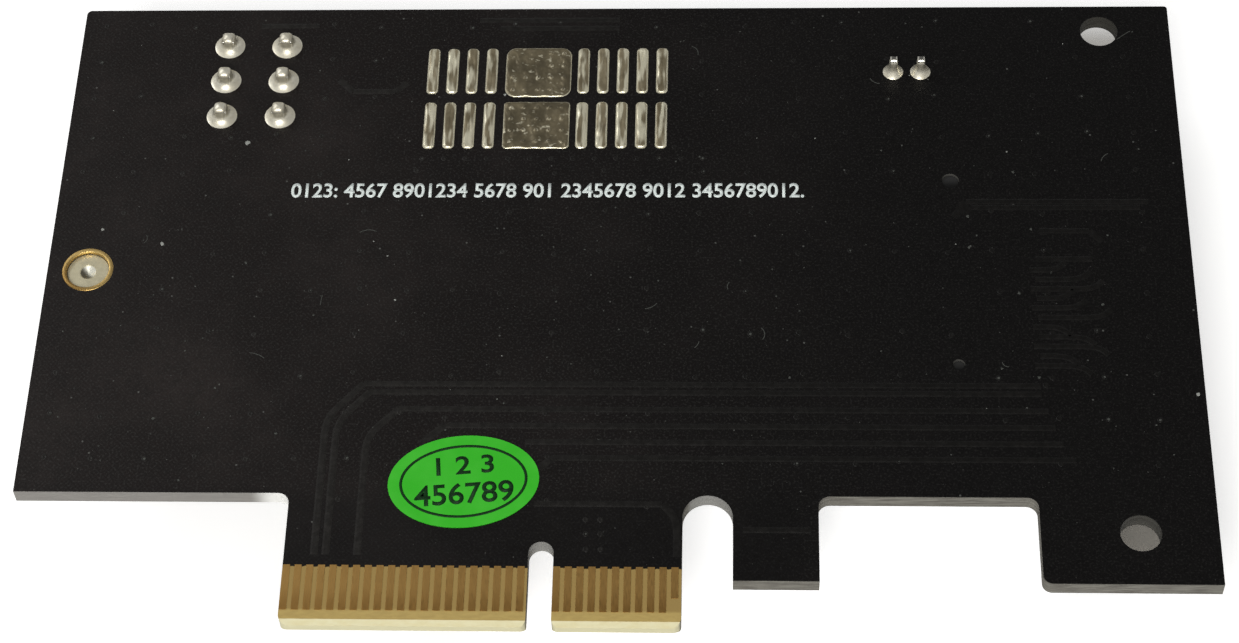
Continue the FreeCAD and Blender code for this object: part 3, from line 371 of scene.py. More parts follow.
def maskFinish(name):
    finish = Finish(name, specular=0.22)
    times, between, within = finish.times, finish.between, finish.within
    x, y = finish.x, finish.y
    tilt = finish.unsigned(finish.geometry("True Normal")[2])
    flat = between(tilt, 0.90, 0.97)
    bevelled = times(between(tilt, 0.3, 0.4), finish.minus(1.0, flat))
    fine = finish.grain(0.55, 4.0, 0.7)
    # painted sheen: a lighter cloud on the mask that fades out towards the right; the same cloud also makes
    # the mask rougher
    sheenCloud = times(between(finish.grain(14.0, 4.0), 0.42, 0.75), between(x, 45.0, -40.0))
    speckled = times(between(finish.grain(0.20, 2.0, 0.5), 0.50, 0.70, 0.0, 0.5),
                     between(x, 45.0, -10.0, 0.5, 1.0))
    # painted shade: the mask darker low down near the tab
    footShade = times(between(y, 14.0, 11.0), between(x, 24.0, 20.0, 0.0, 0.55))
    mask = finish.layers(
        maskLook["left"], (between(x, -46.0, 40.0), maskLook["right"]), (times(sheenCloud, 0.55), maskLook["paintedSheen"]),
        (between(fine, 0.35, 0.75, 0.0, 0.45), (0.003, 0.0026, 0.0024)), (speckled, (0.031, 0.030, 0.028)),
        (footShade, (0.0020, 0.0018, 0.0017)))
    # settled dust: pale points of three sizes
    for size, reach, share in maskLook["dust"]:
        cell = finish.add("ShaderNodeTexVoronoi", finish.point, 0.0, 1.0 / size).outputs
        near = between(cell["Distance"], reach * 0.6, reach, 1.0, 0.0)
        some = between(finish.split(cell["Color"])[0], share, share + 0.02)
        mask = finish.blend(times(times(near, some), 0.45), mask, (0.16, 0.165, 0.155))
    # a scuff across the lower left corner
    along = finish.plus(times(x, 0.741), times(y, 0.671))
    across = finish.minus(times(y, 0.741), times(x, -0.671))
    scuff = times(between(finish.unsigned(finish.plus(across, 8.0)), 1.1, 0.3),
                  between(along, -19.0, -12.0, 1.0, 0.0))
    mask = finish.blend(times(scuff, 0.5), mask, (0.005, 0.0045, 0.004))
    # bare laminate round the contacts
    tabLeft, tabRight = maskLook["tab"]
    onTab = times(between(x, tabLeft, tabLeft + 0.2), between(x, tabRight - 0.2, tabRight, 1.0, 0.0))
    edgeWave = finish.plus(y, times(finish.grain(0.7, 2.0, 0.55), 0.35))
    bare = times(onTab, between(edgeWave, maskLook["maskFoot"] + 0.13, maskLook["maskFoot"] + 0.21, 1.0, 0.0))
    glass = finish.grain(0.9, 3.0, 0.6, (1.0, 3.0, 1.0))
    laminate = finish.layers(
        maskLook["laminate"], (between(glass, 0.3, 0.7), maskLook["laminateWorn"]),
        (times(between(y, 1.15, 1.5), 0.92), maskLook["laminateShade"]))
    # cut walls: bare glass and resin, banded through the thickness, with painted light where the floor would
    # light them
    bands = finish.grain(0.5, 3.0, 0.6, (0.25, 0.25, 3.5))
    nearFoot = between(y, 22.0, 14.0)
    arch = finish.larger(*[within(x, (left, left + 0.4), (right, right - 0.4))
                           for left, right in (maskLook["notch"], maskLook["relief"])])
    arch = times(arch, times(nearFoot, between(y, 5.2, 6.0)))
    stepLeft, stepRight = maskLook["step"]
    corner = within(x, (stepLeft, stepLeft + 2.2), (stepRight, stepRight - 0.8))
    reach = maskLook["holeReach"]
    wall = finish.layers(
        maskLook["wall"], (between(bands, 0.3, 0.7), maskLook["wallDark"]),
        (times(between(finish.unsigned(finish.z), 0.70, 0.775), 0.8), maskLook["rim"]),
        # painted light on the step wall and the notch arches, where the floor would light them
        (times(between(x, -24.0, -20.0, 0.72, 0.0), nearFoot), maskLook["stepWallLit"]),
        (times(arch, 0.65), maskLook["archWallLit"]),
        # painted shade on the walls of the bracket holes and the peg holes
        *[(times(finish.nearTo(*hole, reach, reach + 0.1), maskLook["holeShade"]), (0.02, 0.019, 0.016))
          for hole in maskLook["holes"]],
        *[(finish.nearTo(*hole, maskLook["pegReach"], maskLook["pegReach"] + 0.1), (0.085, 0.083, 0.076))
          for hole in maskLook["pegHoles"]],
        # a painted highlight on the step's corner
        (times(corner, nearFoot), maskLook["cornerHighlight"]),
        (times(between(y, 0.6, 0.2), onTab), maskLook["bevel"]))
    bevelShade = finish.blend(between(glass, 0.25, 0.75), maskLook["bevel"], maskLook["bevelShade"])
    finish.colour(wall, (flat, finish.blend(bare, mask, laminate)), (bevelled, bevelShade))
    maskRough = finish.plus(between(fine, 0.2, 0.8, 0.36, 0.52), times(sheenCloud, 0.10))
    onMask = times(flat, finish.minus(1.0, bare))
    finish.set("Roughness", finish.blend(onMask, between(bands, 0.2, 0.8, 0.6, 0.8), maskRough, "FLOAT"))
    # glass cloth under the mask: two crossed ribs
    weave = times(*[finish.number("SINE", times(place, math.tau / pitch))
                    for place, pitch in zip((x, y), maskLook["weave"])])
    return finish.bump(finish.plus(times(weave, 0.35), finish.grain(0.25)), 0.012, 0.6)


def reliefFinish(name, colour, edge):
    # the same mask where it lies over raised copper, with the same painted sheen: lighter on the left, darker
    # to the right
    finish = Finish(name, specular=0.26)
    fine = finish.grain(0.5, 4.0, 0.7)
    worn = finish.between(fine, 0.35, 0.75)
    left = finish.blend(worn, colour, edge)
    right = finish.blend(worn, [part * 0.38 for part in colour], [part * 0.38 for part in edge])
    finish.colour(left, (finish.between(finish.x, -25.0, 32.0), right))
    return finish.skin(fine, (0.34, 0.48), 0.008)


def solderFinish(name, colour, dull, brown, rough, lump, depth, metal):
    # soft metal with a lumpy, partly dulled skin
    finish = Finish(name, metal=metal)
    patches = finish.grain(lump, 4.0, 0.62)
    fine = finish.grain(lump * 0.18)
    # painted shade in a brown tone where it turns away from the slot edge, and a painted dark reflection on
    # the neck over the pin; clear on the crown
    neck = finish.within(finish.z, (1.25, 1.6), (2.40, 2.24))
    paintedShadeShare = finish.larger(finish.between(finish.geometry("Normal")[1], 0.0, 0.6, 0.0, 0.6),
                            finish.times(neck, 0.6))
    finish.colour(colour, (finish.between(patches, 0.38, 0.66), dull),
                  (finish.between(fine, 0.55, 0.8, 0.0, 0.35), dull), (paintedShadeShare, brown))
    finish.roughness(patches, 0.3, 0.7, *rough)
    return finish.bump(finish.plus(patches, finish.times(fine, 0.25)), depth, 0.8)


def tinFinish(name, flatShade, flatDark, bright, streakSize, share, stretch):
    # hot-levelled tin: dark brown where it lies flat, with painted highlights on its rims and along the crests
    # of its streaks
    finish = Finish(name, metal=0.55)
    level = finish.unsigned(finish.geometry("Normal")[2])
    # painted highlight where the tin tilts, at its rims
    rim = finish.between(level, 0.78, 0.94, 1.0, 0.0)
    streaks = finish.grain(streakSize, 2.0, 0.5, stretch)
    fine = finish.grain(0.16)
    finish.colour(
        flatShade, (finish.between(finish.grain(2.4), 0.36, 0.64), flatDark),
        (finish.between(streaks, share, share + 0.16, 0.0, 0.9), bright), (finish.times(rim, 0.85), bright),
        (finish.between(fine, 0.55, 0.85, 0.0, 0.3), flatDark))
    finish.roughness(streaks, 0.35, 0.65, 0.42, 0.30)
    return finish.bump(finish.plus(streaks, finish.times(fine, 0.08)), 0.04)


def goldFinish(name, colour, worn, foot=None):
    # worn gold over nickel, wiped lengthways by insertions
    finish = Finish(name, metal=1.0)
    wipe = finish.grain(0.22, 4.0, 0.6, (3.0, 0.35, 1.0))
    patch = finish.grain(2.6)
    shade = finish.layers(colour, (finish.between(wipe, 0.4, 0.7, 0.0, 0.6), worn),
                          (finish.between(patch, 0.5, 0.8, 0.0, 0.5), worn))
    if foot is not None:
        wavy = finish.plus(finish.y, finish.times(patch, 1.6))
        shade = finish.blend(finish.between(wavy, 4.6, 2.0, 0.0, 0.75), shade, foot)
    finish.colour(shade)
    finish.roughness(wipe, 0.3, 0.7, 0.34, 0.5)
    return finish.bump(wipe, 0.01)


def plasticFinish(name, colour, rough, grainSize=0.12, specular=0.4):
    # moulded plastic: fine spark-eroded grain
    finish = Finish(name, specular=specular)
    lighter = [min(part * 1.7 + 0.004, 1.0) for part in colour]
    cloudy = finish.grain(grainSize * 22.0, 3.0, 0.5)
    finish.colour(colour, (finish.between(cloudy, 0.35, 0.75, 0.0, 0.6), lighter))
    return finish.skin(finish.grain(grainSize), rough, 0.012)


def metalFinish(name, colour, rough, size=0.3, stretch=(1.0, 6.0, 1.0), metal=1.0, depth=0.006):
    # plated or drawn metal with fine lines along one axis
    finish = Finish(name, metal=metal)
    lines = finish.grain(size, 4.0, 0.6, stretch)
    darker = [part * 0.72 for part in colour]
    finish.colour(colour, (finish.between(lines, 0.35, 0.7, 0.0, 0.7), darker))
    return finish.skin(lines, rough, depth)


def powderFinish(name, colour, spot, size, spread, rough, depth, strength, specular):
    # a dry, finely speckled skin: sintered ceramic, or ink that is slightly broken at its edges
    finish = Finish(name, specular=specular)
    grainy = finish.grain(size, 3.0, 0.7)
    finish.colour(colour, (finish.between(grainy, *spread), spot))
    return finish.skin(grainy, rough, depth, strength)


def ceramicFinish(name, colour, spot):
    return powderFinish(name, colour, spot, 0.06, (0.45, 0.75), (0.35, 0.6), 0.008, 0.6, 0.45)


def inkFinish(name, colour, spot):
    return powderFinish(name, colour, spot, 0.16, (0.4, 0.8, 0.0, 0.8), (0.5, 0.75), 0.006, 0.5, 0.25)


def labelFinish(name):
    # label film: green ink on paper
    finish = Finish(name, specular=0.35)
    cloudy = finish.grain(3.2, 3.0, 0.5)
    fine = finish.grain(0.12)
    finish.colour((0.030, 0.455, 0.013), (finish.between(cloudy, 0.35, 0.75, 0.0, 0.5), (0.070, 0.54, 0.040)),
                  (finish.between(fine, 0.5, 0.85, 0.0, 0.25), (0.02, 0.34, 0.01)))
    finish.roughness(fine, 0.2, 0.8, 0.38, 0.55)
    return finish.bump(finish.plus(cloudy, finish.times(fine, 0.1)), 0.03)


def tintAbove(finish, height, colour):
    # another colour above a height on the card
    return finish.over(finish.between(finish.z, height, height + 0.15), colour)


leads = ("ssd_socket_hold_downs capacitor_terminals transistor_tabs transistor_leads inductor_terminals "
         "controller_leads chip_capacitor_ends coupling_capacitor_ends chip_resistor_ends activity_led_ends")
# each kind of finish: name, the card nodes it covers, and what its function takes
finishTable = {
    maskFinish: [("solderMaskBlack", "circuit_board")],
    reliefFinish: [("maskOverCopper", "", (0.0108, 0.0098, 0.0088), (0.0190, 0.0175, 0.0158))],
    solderFinish: [("solderBright", "power_header_solder led_header_solder", (0.98, 0.94, 0.80),
                    (0.86, 0.81, 0.66), (0.37, 0.335, 0.255), (0.38, 0.48), 1.4, 0.008, 0.72)],
    tinFinish: [
        ("barTin", "tinned_bars", (0.34, 0.29, 0.19), (0.20, 0.165, 0.10), (0.90, 0.855, 0.66), 0.85, 0.45,
         (1.5, 0.26, 1.0)),
        ("padTin", "thermal_pads", (0.22, 0.185, 0.115), (0.125, 0.105, 0.065), (0.84, 0.79, 0.60), 0.55,
         0.60, (0.8, 1.1, 1.0)),
    ],
    goldFinish: [
        ("contactGold", "edge_contacts_back edge_contacts_front", (0.72, 0.43, 0.14), (0.58, 0.34, 0.105),
         (0.46, 0.25, 0.07)),
        ("ringGold", "standoff_ring", (0.92, 0.66, 0.25), (0.74, 0.50, 0.19)),
    ],
    plasticFinish: [
        ("housingBlack", "power_header_housing led_header_base", (0.022, 0.022, 0.022), (0.42, 0.62)),
        ("socketBlack", "ssd_socket_housing", (0.018, 0.018, 0.019), (0.40, 0.60), 0.09),
        ("baseBlack", "capacitor_bases", (0.020, 0.018, 0.016), (0.48, 0.66)),
        ("mouldBlack", "transistor_bodies controller_body", (0.030, 0.030, 0.031), (0.50, 0.72), 0.07),
        ("inductorGrey", "inductor_core", (0.085, 0.085, 0.088), (0.55, 0.75), 0.10),
        ("lampLens", "activity_led", (0.62, 0.70, 0.52), (0.12, 0.22), 0.3, 0.5),
    ],
    metalFinish: [
        ("springGold", "ssd_socket_upper_contacts ssd_socket_lower_contacts", (0.90, 0.66, 0.30),
         (0.22, 0.36), 0.12),
        ("postGold", "led_header_pins", (0.90, 0.66, 0.30), (0.22, 0.36), 0.12),
        ("leadTin", leads, (0.74, 0.73, 0.70), (0.28, 0.44), 0.15),
        ("pinTin", "power_header_pins", (0.80, 0.79, 0.76), (0.20, 0.34), 0.2, (1.0, 1.0, 4.0)),
        ("standoffMetal", "ssd_standoff", (0.675, 0.62, 0.435), (0.34, 0.50), 0.6, (1.0, 1.0, 5.0), 0.55),
        ("canAluminium", "capacitor_cans", (0.80, 0.80, 0.79), (0.26, 0.36), 0.2, (1.0, 1.0, 0.25), 1.0,
         0.0012),
    ],
    ceramicFinish: [
        ("capacitorTan", "chip_capacitors coupling_capacitors", (0.36, 0.22, 0.11), (0.44, 0.29, 0.16)),
        ("resistorBlack", "chip_resistors", (0.012, 0.012, 0.013), (0.03, 0.03, 0.032)),
    ],
    inkFinish: [
        ("inkWhite", "", (0.79, 0.86, 0.84), (0.52, 0.565, 0.55)),
        ("labelInk", "", (0.0, 0.026, 0.002), (0.0, 0.05, 0.004)),
        ("dustPale", "", (0.30, 0.31, 0.29), (0.12, 0.125, 0.115)),
        ("dustFaint", "", (0.060, 0.064, 0.058), (0.025, 0.026, 0.024)),
        ("silkWhite", "", (0.70, 0.73, 0.76), (0.42, 0.44, 0.46)),
        ("canInk", "", (0.012, 0.012, 0.014), (0.03, 0.03, 0.034)),
    ],
    labelFinish: [("labelGreen", "inspection_sticker")],
}
finishes = {}
for makeFinish, rows in finishTable.items():
    for name, covered, *values in rows:
        finishes[name] = makeFinish(name, *values)
        for nodeName in covered.split():
            mesh = nodes[nodeName].data
            mesh.materials.clear()
            mesh.materials.append(finishes[name].material)
print("finishes made and set on the card")

# tints on one side or end of a part, most of them painted shade and painted highlight, mm: sums of x and y,
# heights over the card's middle, radii
spotLook = {
    "ringSum": (-5.6, -9.6), "ringShade": (0.38, 0.235, 0.075),
    "postHeight": 0.3, "postTin": (0.55, 0.535, 0.48),
    "pegHeight": 0.2, "pegPitch": 20.0, "pegMiddle": 26.1, "pegShades": ([0.0008] * 3, [0.022] * 3),
    "pit": (-42.47, 36.1), "pitEdge": (0.76, 0.84), "pitSum": (-6.9, -5.85),
    "pitShades": ((0.14, 0.13, 0.095), (0.92, 0.91, 0.80)),
}


def tintSpots():
    ring, post, socket, standoff = chosen(finishes, "ringGold postGold socketBlack standoffMetal")
    # painted shade: the ring is darker at its lower left; the posts are tinned on the solder side
    ring.over(ring.between(ring.plus(ring.x, ring.y), *spotLook["ringSum"]), spotLook["ringShade"])
    tintAbove(post, spotLook["postHeight"], spotLook["postTin"])
    # painted shade: the pegs' ends are darker on their lower half
    scale = 1.0 / spotLook["pegPitch"]
    along = socket.number("MULTIPLY_ADD", socket.y, scale, 0.5 - spotLook["pegMiddle"] * scale)
    half = socket.between(socket.number("FRACT", along), 0.475, 0.525)
    tintAbove(socket, spotLook["pegHeight"], socket.blend(half, *spotLook["pegShades"]))
    # the standoff's end has a pit, with painted shade on one side and a painted highlight on the other
    side = standoff.between(standoff.plus(standoff.x, standoff.y), *spotLook["pitSum"])
    shade = standoff.blend(side, *spotLook["pitShades"])
    standoff.over(standoff.nearTo(*spotLook["pit"], *spotLook["pitEdge"]), shade)


tintSpots()
print("single spots tinted")


# solder joints: a hollow-sided skirt, then a coat over the pin that goes from round to square
jointLook = {
    "steps": 48, "lump": 0.035, "boxy": 3.6, "coatRings": 13,
    "powerSkirt": [(1.000, 0.000), (0.960, 0.020), (0.890, 0.062), (0.810, 0.120), (0.730, 0.190),
                   (0.655, 0.272), (0.590, 0.360), (0.535, 0.470), (0.490, 0.610)],
    "powerCoat": 0.64, "powerTop": 1.66,       # mm, half width of the coat and its height over the face
    "ledSkirt": [(1.000, 0.000), (0.960, 0.035), (0.880, 0.115), (0.785, 0.235), (0.690, 0.390),
                 (0.600, 0.570), (0.520, 0.770), (0.450, 0.980)],
    "ledCoat": 0.385, "ledTop": 1.985,
}


def jointLoops(x, y, radius, skirt, coat, top, seed):
    # rings from the skirt's foot to the crown
    loops = []
    rings = [(radius * share, height, 0.0) for share, height in skirt]
    lastRadius, lastHeight = rings[-1][0:2]
    for step in range(1, jointLook["coatRings"]):
        rise = step / jointLook["coatRings"]
        dome = math.sqrt(1.0 - max(0.0, (rise - 0.45) / 0.55) ** 2.6)
        edge = lastRadius + (coat - lastRadius) * min(rise * 2.5, 1.0)
        rings.append((edge * dome, lastHeight + (top - lastHeight) * rise, min(rise * 2.0, 1.0)))
    rings.append((coat * 0.12, top, 0.3))
    power = jointLook["boxy"]
    for reach, height, square in rings:
        loop = []
        for c, s in circle(0.0, 0.0, 1.0, jointLook["steps"]):
            boxy = (abs(c) ** power + abs(s) ** power) ** (-1.0 / power)
            span = reach * (1.0 + (boxy - 1.0) * square)
            wobble = noise.noise(Vector((c * 1.3 + seed * 7.1, s * 1.3, height * 1.7)))
            span *= 1.0 + jointLook["lump"] * wobble * (1.0 if height > 0.01 else 0.4)
            loop.append((x + span * c, y + span * s, backFace + height))
        loops.append(loop)
    return loops


def joints(header, sway, firstSeed):
    # builds the joints of one header; their tops differ by the sway
    def build(work):
        for number, (x, y, radius, *_) in enumerate(islands(header + "_header_solder")):
            top = jointLook[header + "Top"] * (1.0 + sway * math.sin(number * 2.3))
            loopsToFaces(work, jointLoops(x, y, radius * 0.995, jointLook[header + "Skirt"],
                                          jointLook[header + "Coat"], top, number + firstSeed))
    return build


newPiece("powerJoints", joints("power", 0.03, 0), "solderBright", ("power_header_solder",))
newPiece("ledJoints", joints("led", 0.0, 20), "solderBright", ("led_header_solder",))
print("solder joints made")


# plated ring whose rolled lip turns down into the hole
ringLook = {"steps": 72, "bore": 1.95, "proud": 0.055, "lip": 0.09, "deep": 0.34, "wallGap": 0.012}


def buildRing(work):
    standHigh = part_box("ssd_standoff")[1].z / mm
    x, y, outer, *_ = spanOf(*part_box("standoff_ring"))
    proud, lip, gap, deep = chosen(ringLook, "proud lip wallGap deep")
    bore = ringLook["bore"] - gap
    profile = [(outer, 0.0), (outer - 0.02, proud * 0.6), (outer - 0.07, proud)]
    for step in range(7):
        angle = math.pi / 2 * step / 6
        profile.append((bore + lip - lip * math.sin(angle), proud - lip + lip * math.cos(angle)))
    profile += [(bore, max(-deep, standHigh + 0.01 - backFace)), (bore + gap * 0.5, -deep)]
    lathe(work, x, y, ringLook["steps"], profile, backFace, closeLast=False)


# tinned bars and pads: domed tin whose height wanders, with a thin clear rim
tinLook = {
    "bar": {"edge": 0.30, "height": 0.20, "rings": 9, "wander": 0.09, "sideSteps": 14},
    "pad": {"edge": 0.34, "height": 0.15, "rings": 40, "wander": 0.081, "sideSteps": 34},
    "barRadius": 0.42, "padRadii": (1.0, 0.38),     # the upper pad's corners and the lower one's
    "bulge": 0.30, "bulgeHeight": 0.13,
}


def tinLoops(span, radius, edge, height, rings, wander, sideSteps, bulges=()):
    centreX, centreY, halfX, halfY = span[0:4]
    inmost = min(halfX, halfY) * 0.97
    loops = []
    for number in range(rings + 1):
        inset = inmost * (number / rings) ** 1.25
        points = roundedLoop(centreX, centreY, halfX - inset, halfY - inset, max(radius - inset, 0.02), 8,
                             sideSteps)
        rise = math.sqrt(max(0.0, 1.0 - (1.0 - min(inset / edge, 1.0)) ** 2))
        loop = []
        for x, y in points:
            lumps = noise.fractal(Vector((x * 1.1, y * 0.8, 3.7)), 1.0, 2.0, 4)
            level = height * rise * (0.72 + 0.28 * rise) + wander * lumps * rise
            for bulgeX, bulgeY in bulges:
                away = math.hypot(x - bulgeX, y - bulgeY) / tinLook["bulge"]
                if away < 1.0:
                    level += tinLook["bulgeHeight"] * (0.5 + 0.5 * math.cos(math.pi * away)) * rise
            loop.append((x, y, backFace + max(level, 0.0 if number == 0 else 0.015)))
        loops.append(loop)
    return loops


def buildBars(work):
    for span in islands("tinned_bars"):
        loopsToFaces(work, tinLoops(span, tinLook["barRadius"], **tinLook["bar"]))


def buildPads(work):
    # a bulge of tin over each heat via; the upper pad has none at its upper left
    for number, span in enumerate(sorted(islands("thermal_pads"), key=lambda span: -span[1])):
        x, y, halfX, halfY = span[0:4]
        bulges = [(x - halfX + halfX * 2 * (column + 0.6) / 5.2, y - halfY + halfY * 2 * (row + 0.55) / 4.1)
                  for column in range(5) for row in range(4) if number or row < 2 or column > 2]
        loopsToFaces(work, tinLoops(span, tinLook["padRadii"][number], **tinLook["pad"], bulges=bulges))


newPiece("standoffRing", buildRing, "ringGold", ("standoff_ring",))
newPiece("tinBars", buildBars, "barTin", ("tinned_bars",))
newPiece("tinPads", buildPads, "padTin", ("thermal_pads",))
print("tinned areas made")


# copper under the mask: raised lines with sloped sides, in millimetres on the card
traceLook = {
    "width": 0.34, "height": 0.036, "slope": 0.13,
    "levels": [             # y of a level line, and the x of its two ends
        (23.9, 43.0, -16.3), (23.05, 43.0, -15.7), (21.3, 43.5, -13.0), (19.6, 44.0, -8.9),
        (17.95, 44.6, -1.8), (16.35, 45.6, 0.6), (11.75, -0.8, 10.2), (43.75, 37.3, 53.7), (43.1, 37.7, 52.9),
        (40.5, 43.7, 48.2), (37.4, 43.2, 48.3), (9.3, 17.1, 22.9), (65.2, -8.0, 5.4), (64.2, -6.0, 5.4),
        (64.6, -29.0, -23.4), (56.6, -19.6, -15.6),
    ],
    "ease": 1.5, "faintHeight": 0.010, "faintSlope": 0.16,
    "faintLines": [
        [(-16.3, 23.9), (-19.4, 20.3), (-19.4, 6.6)], [(-15.7, 23.05), (-18.4, 19.9), (-18.4, 6.6)],
        [(-13.0, 21.3), (-15.7, 18.5), (-15.7, 6.6)], [(-8.9, 19.6), (-11.0, 17.6)],
        [(0.6, 16.35), (-0.5, 15.2)], [(10.2, 11.75), (11.5, 10.3), (11.5, 6.6)],
        [(36.1, 42.0), (37.3, 43.75)], [(36.9, 42.3), (37.7, 43.1)], [(48.2, 40.5), (49.3, 39.3)],
        [(-21.0, 58.0), (-19.6, 56.6)], [(-15.6, 56.6), (-14.5, 57.6)],
    ],
    "fanRows": 11, "fanTop": 36.2, "fanPitch": 1.02, "fanX": 42.6, "fanEnd": 0.9,
}


def buildTraces(work):
    def raised(lines, height, slope):
        for line in lines:
            line = eased(line, traceLook["ease"])
            ribbon(work, line, traceLook["width"], backFace, backFace + height, slope)

    lines = [[(start, y), (end, y)] for y, start, end in traceLook["levels"]]
    rows, top, pitch, left, end = chosen(traceLook, "fanRows fanTop fanPitch fanX fanEnd")
    for row in range(rows):
        y = top - row * pitch
        start = left + 0.5 * (row % 2)
        reach = 2.4 + 1.6 * (row % 3)
        bend = end if row < rows / 2 else -end
        lines.append([(start, y), (start + reach, y), (start + reach + end, y + bend)])
    raised(lines, traceLook["height"], traceLook["slope"])
    raised(*chosen(traceLook, "faintLines faintHeight faintSlope"))


# covered vias: low rings with a pinched middle, on a loose grid and in groups
viaLook = {
    "seed": 11, "pitch": 4.4, "jitter": 0.35, "empty": 0.25, "outer": 0.26, "height": 0.030, "pit": 0.07,
    "inset": (2.2, 2.0), "clear": 0.6, "clearHole": 2.6, "clearPeg": 1.6,       # mm
    "printRows": (42.8, 46.8), "tabColumns": (-19.0, 10.0), "tabRows": (8.0, 14.0),
    "groups": [(-12.6, 48.7, 14, 2.0), (10.8, 50.0, 1, 0.0), (3.7, 10.2, 2, 1.25), (3.75, 8.8, 2, 1.25),
               (3.8, 7.3, 2, 1.25), (43.4, 24.0, 1, 0.0)],
    "dustSeed": 23, "dustShare": 0.24, "dustSize": (0.05, 0.10),
    "keepOut": ("tinned_bars", "thermal_pads", "power_header_solder", "led_header_solder", "standoff_ring",
                "inspection_sticker", "edge_contacts_back"),
}


def onNode(x, y, names, margin):
    # whether a spot lies in the box of one of the nodes, or within the margin of it
    return any(abs(x - midX) < halfX + margin and abs(y - midY) < halfY + margin
               for midX, midY, halfX, halfY, *_ in [spanOf(*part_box(name)) for name in names])


def viaPlaces():
    # a loose grid that keeps clear of holes, metal, the print and the label, then the groups
    places = []
    dice = random.Random(viaLook["seed"])
    midX, midY, halfX, halfY, *_ = spanOf(*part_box("circuit_board"))
    pitch, jitter, inset = chosen(viaLook, "pitch jitter inset")
    (printLow, printHigh), (tabLeft, tabRight), (tabLow, tabHigh) = chosen(
        viaLook, "printRows tabColumns tabRows")
    holes = [(x, y, viaLook["clearHole"]) for x, y in maskLook["holes"]]
    holes += [(x, y, viaLook["clearPeg"]) for x, y in maskLook["pegHoles"]]
    for column in range(int(2 * halfX / pitch)):
        for row in range(int(2 * halfY / pitch)):
            x = midX - halfX + inset[0] + column * pitch + dice.uniform(-1, 1) * jitter
            y = midY + halfY - inset[1] - row * pitch + dice.uniform(-1, 1) * jitter
            skip = dice.random() < viaLook["empty"] or printLow < y < printHigh
            if skip or (y < tabHigh and not (tabLeft < x < tabRight and y > tabLow)):
                continue
            if any(math.hypot(x - holeX, y - holeY) < reach for holeX, holeY, reach in holes):
                continue
            if not onNode(x, y, viaLook["keepOut"], viaLook["clear"]):
                places.append((x, y))
    for x, y, count, step in viaLook["groups"]:
        places += [(x + i * step, y) for i in range(count)]
    return places


def viaRings(work, face, up):
    # the rings on one face of the laminate
    outer, height, pit = chosen(viaLook, "outer height pit")
    profile = ((outer, 0.0), (outer * 0.8, height), (outer * 0.55, height * 0.9), (pit, height * 0.15))
    for x, y in viaSpots:
        lathe(work, x, y, 14, profile, face, up)


def buildViaDust(work):
    # the dust that lies in the pits of some vias
    dice = random.Random(viaLook["dustSeed"])
    level = backFace + viaLook["height"] * 0.7
    for x, y in viaSpots:
        size = dice.uniform(*viaLook["dustSize"])
        if dice.random() < viaLook["dustShare"]:
            lathe(work, x, y, 9, ((size * 1.3, 0.0), (size, 0.012)), level)


# settled dust: flakes and short curled fibres lying on the mask
dustLook = {
    "flakeSeed": 5, "faintSeed": 8,
    "flakes": [(-29.07, 50.55, 0.24), (-5.22, 56.16, 0.15), (56.43, 23.15, 0.20), (-14.11, 32.83, 0.13),
               (-35.9, 39.0, 0.20), (-41.6, 40.6, 0.15)],
    "smudges": [
        (41.7, 47.1, 0.20), (37.4, 42.1, 0.24), (37.4, 38.7, 0.22), (41.6, 33.7, 0.22), (48.9, 32.5, 0.20),
        (43.0, 40.7, 0.18), (39.7, 25.7, 0.18), (49.8, 40.0, 0.14), (42.9, 24.8, 0.20), (-28.0, 36.9, 0.22),
        (-34.7, 20.2, 0.22), (-23.7, 18.7, 0.20), (-32.6, 27.3, 0.15), (-29.5, 23.4, 0.18),
        (-38.7, 24.1, 0.12), (-39.2, 17.3, 0.12), (-43.2, 20.3, 0.12), (-30.2, 20.3, 0.12),
        (-38.7, 30.0, 0.12), (-30.3, 29.5, 0.12), (-31.8, 13.9, 0.18), (9.5, 35.0, 0.13), (-1.1, 40.0, 0.10),
        (21.2, 24.7, 0.16), (6.1, 29.7, 0.13), (13.1, 48.9, 0.13), (21.0, 28.6, 0.12), (0.4, 32.7, 0.14),
    ],
    "loose": 120, "looseSize": (0.035, 0.10), "clear": 16, "clearSize": (0.045, 0.085),
    "fibres": 15, "fibreSteps": 6, "fibreWidth": 0.055, "fibreLength": (0.7, 1.7), "fibreCurl": 1.6,
    "high": 0.02, "columns": (-44.0, 54.0), "rows": (15.0, 65.0), "printRow": 45.0, "printClear": 1.4,
    "holeClear": 2.2, "metalClear": 1.0,
    "metal": ("tinned_bars", "thermal_pads", "power_header_solder", "standoff_ring"),
}


def dustPlace(dice):
    # anywhere on the mask above the notches, clear of the tinned metal, the print and the upper hole
    holeX, holeY = maskLook["holes"][0]
    while True:
        x = dice.uniform(*dustLook["columns"])
        y = dice.uniform(*dustLook["rows"])
        offPrint = abs(y - dustLook["printRow"]) > dustLook["printClear"]
        offHole = math.hypot(x - holeX, y - holeY) > dustLook["holeClear"]
        if offPrint and offHole and not onNode(x, y, dustLook["metal"], dustLook["metalClear"]):
            return x, y


def flake(work, dice, x, y, size):
    reaches = [size * dice.uniform(0.6, 1.25) for corner in range(7)]

    def outline(share):
        return [(x + reach * share * u, y + reach * share * v)
                for reach, (u, v) in zip(reaches, circle(0.0, 0.0, 1.0, len(reaches)))]

    stack(work, outline, ((1.0, 0.0), (0.7, dustLook["high"])), backFace)


def flakes(work, dice, spots, share, count, sizes):
    # flakes at set spots, then a count of loose ones
    for x, y, size in spots:
        flake(work, dice, x, y, size * share)
    for number in range(count):
        x, y = dustPlace(dice)
        flake(work, dice, x, y, dice.uniform(*sizes))


def buildFlakes(work):
    flakes(work, random.Random(dustLook["flakeSeed"]), dustLook["flakes"], 1.0, dustLook["clear"],
           dustLook["clearSize"])


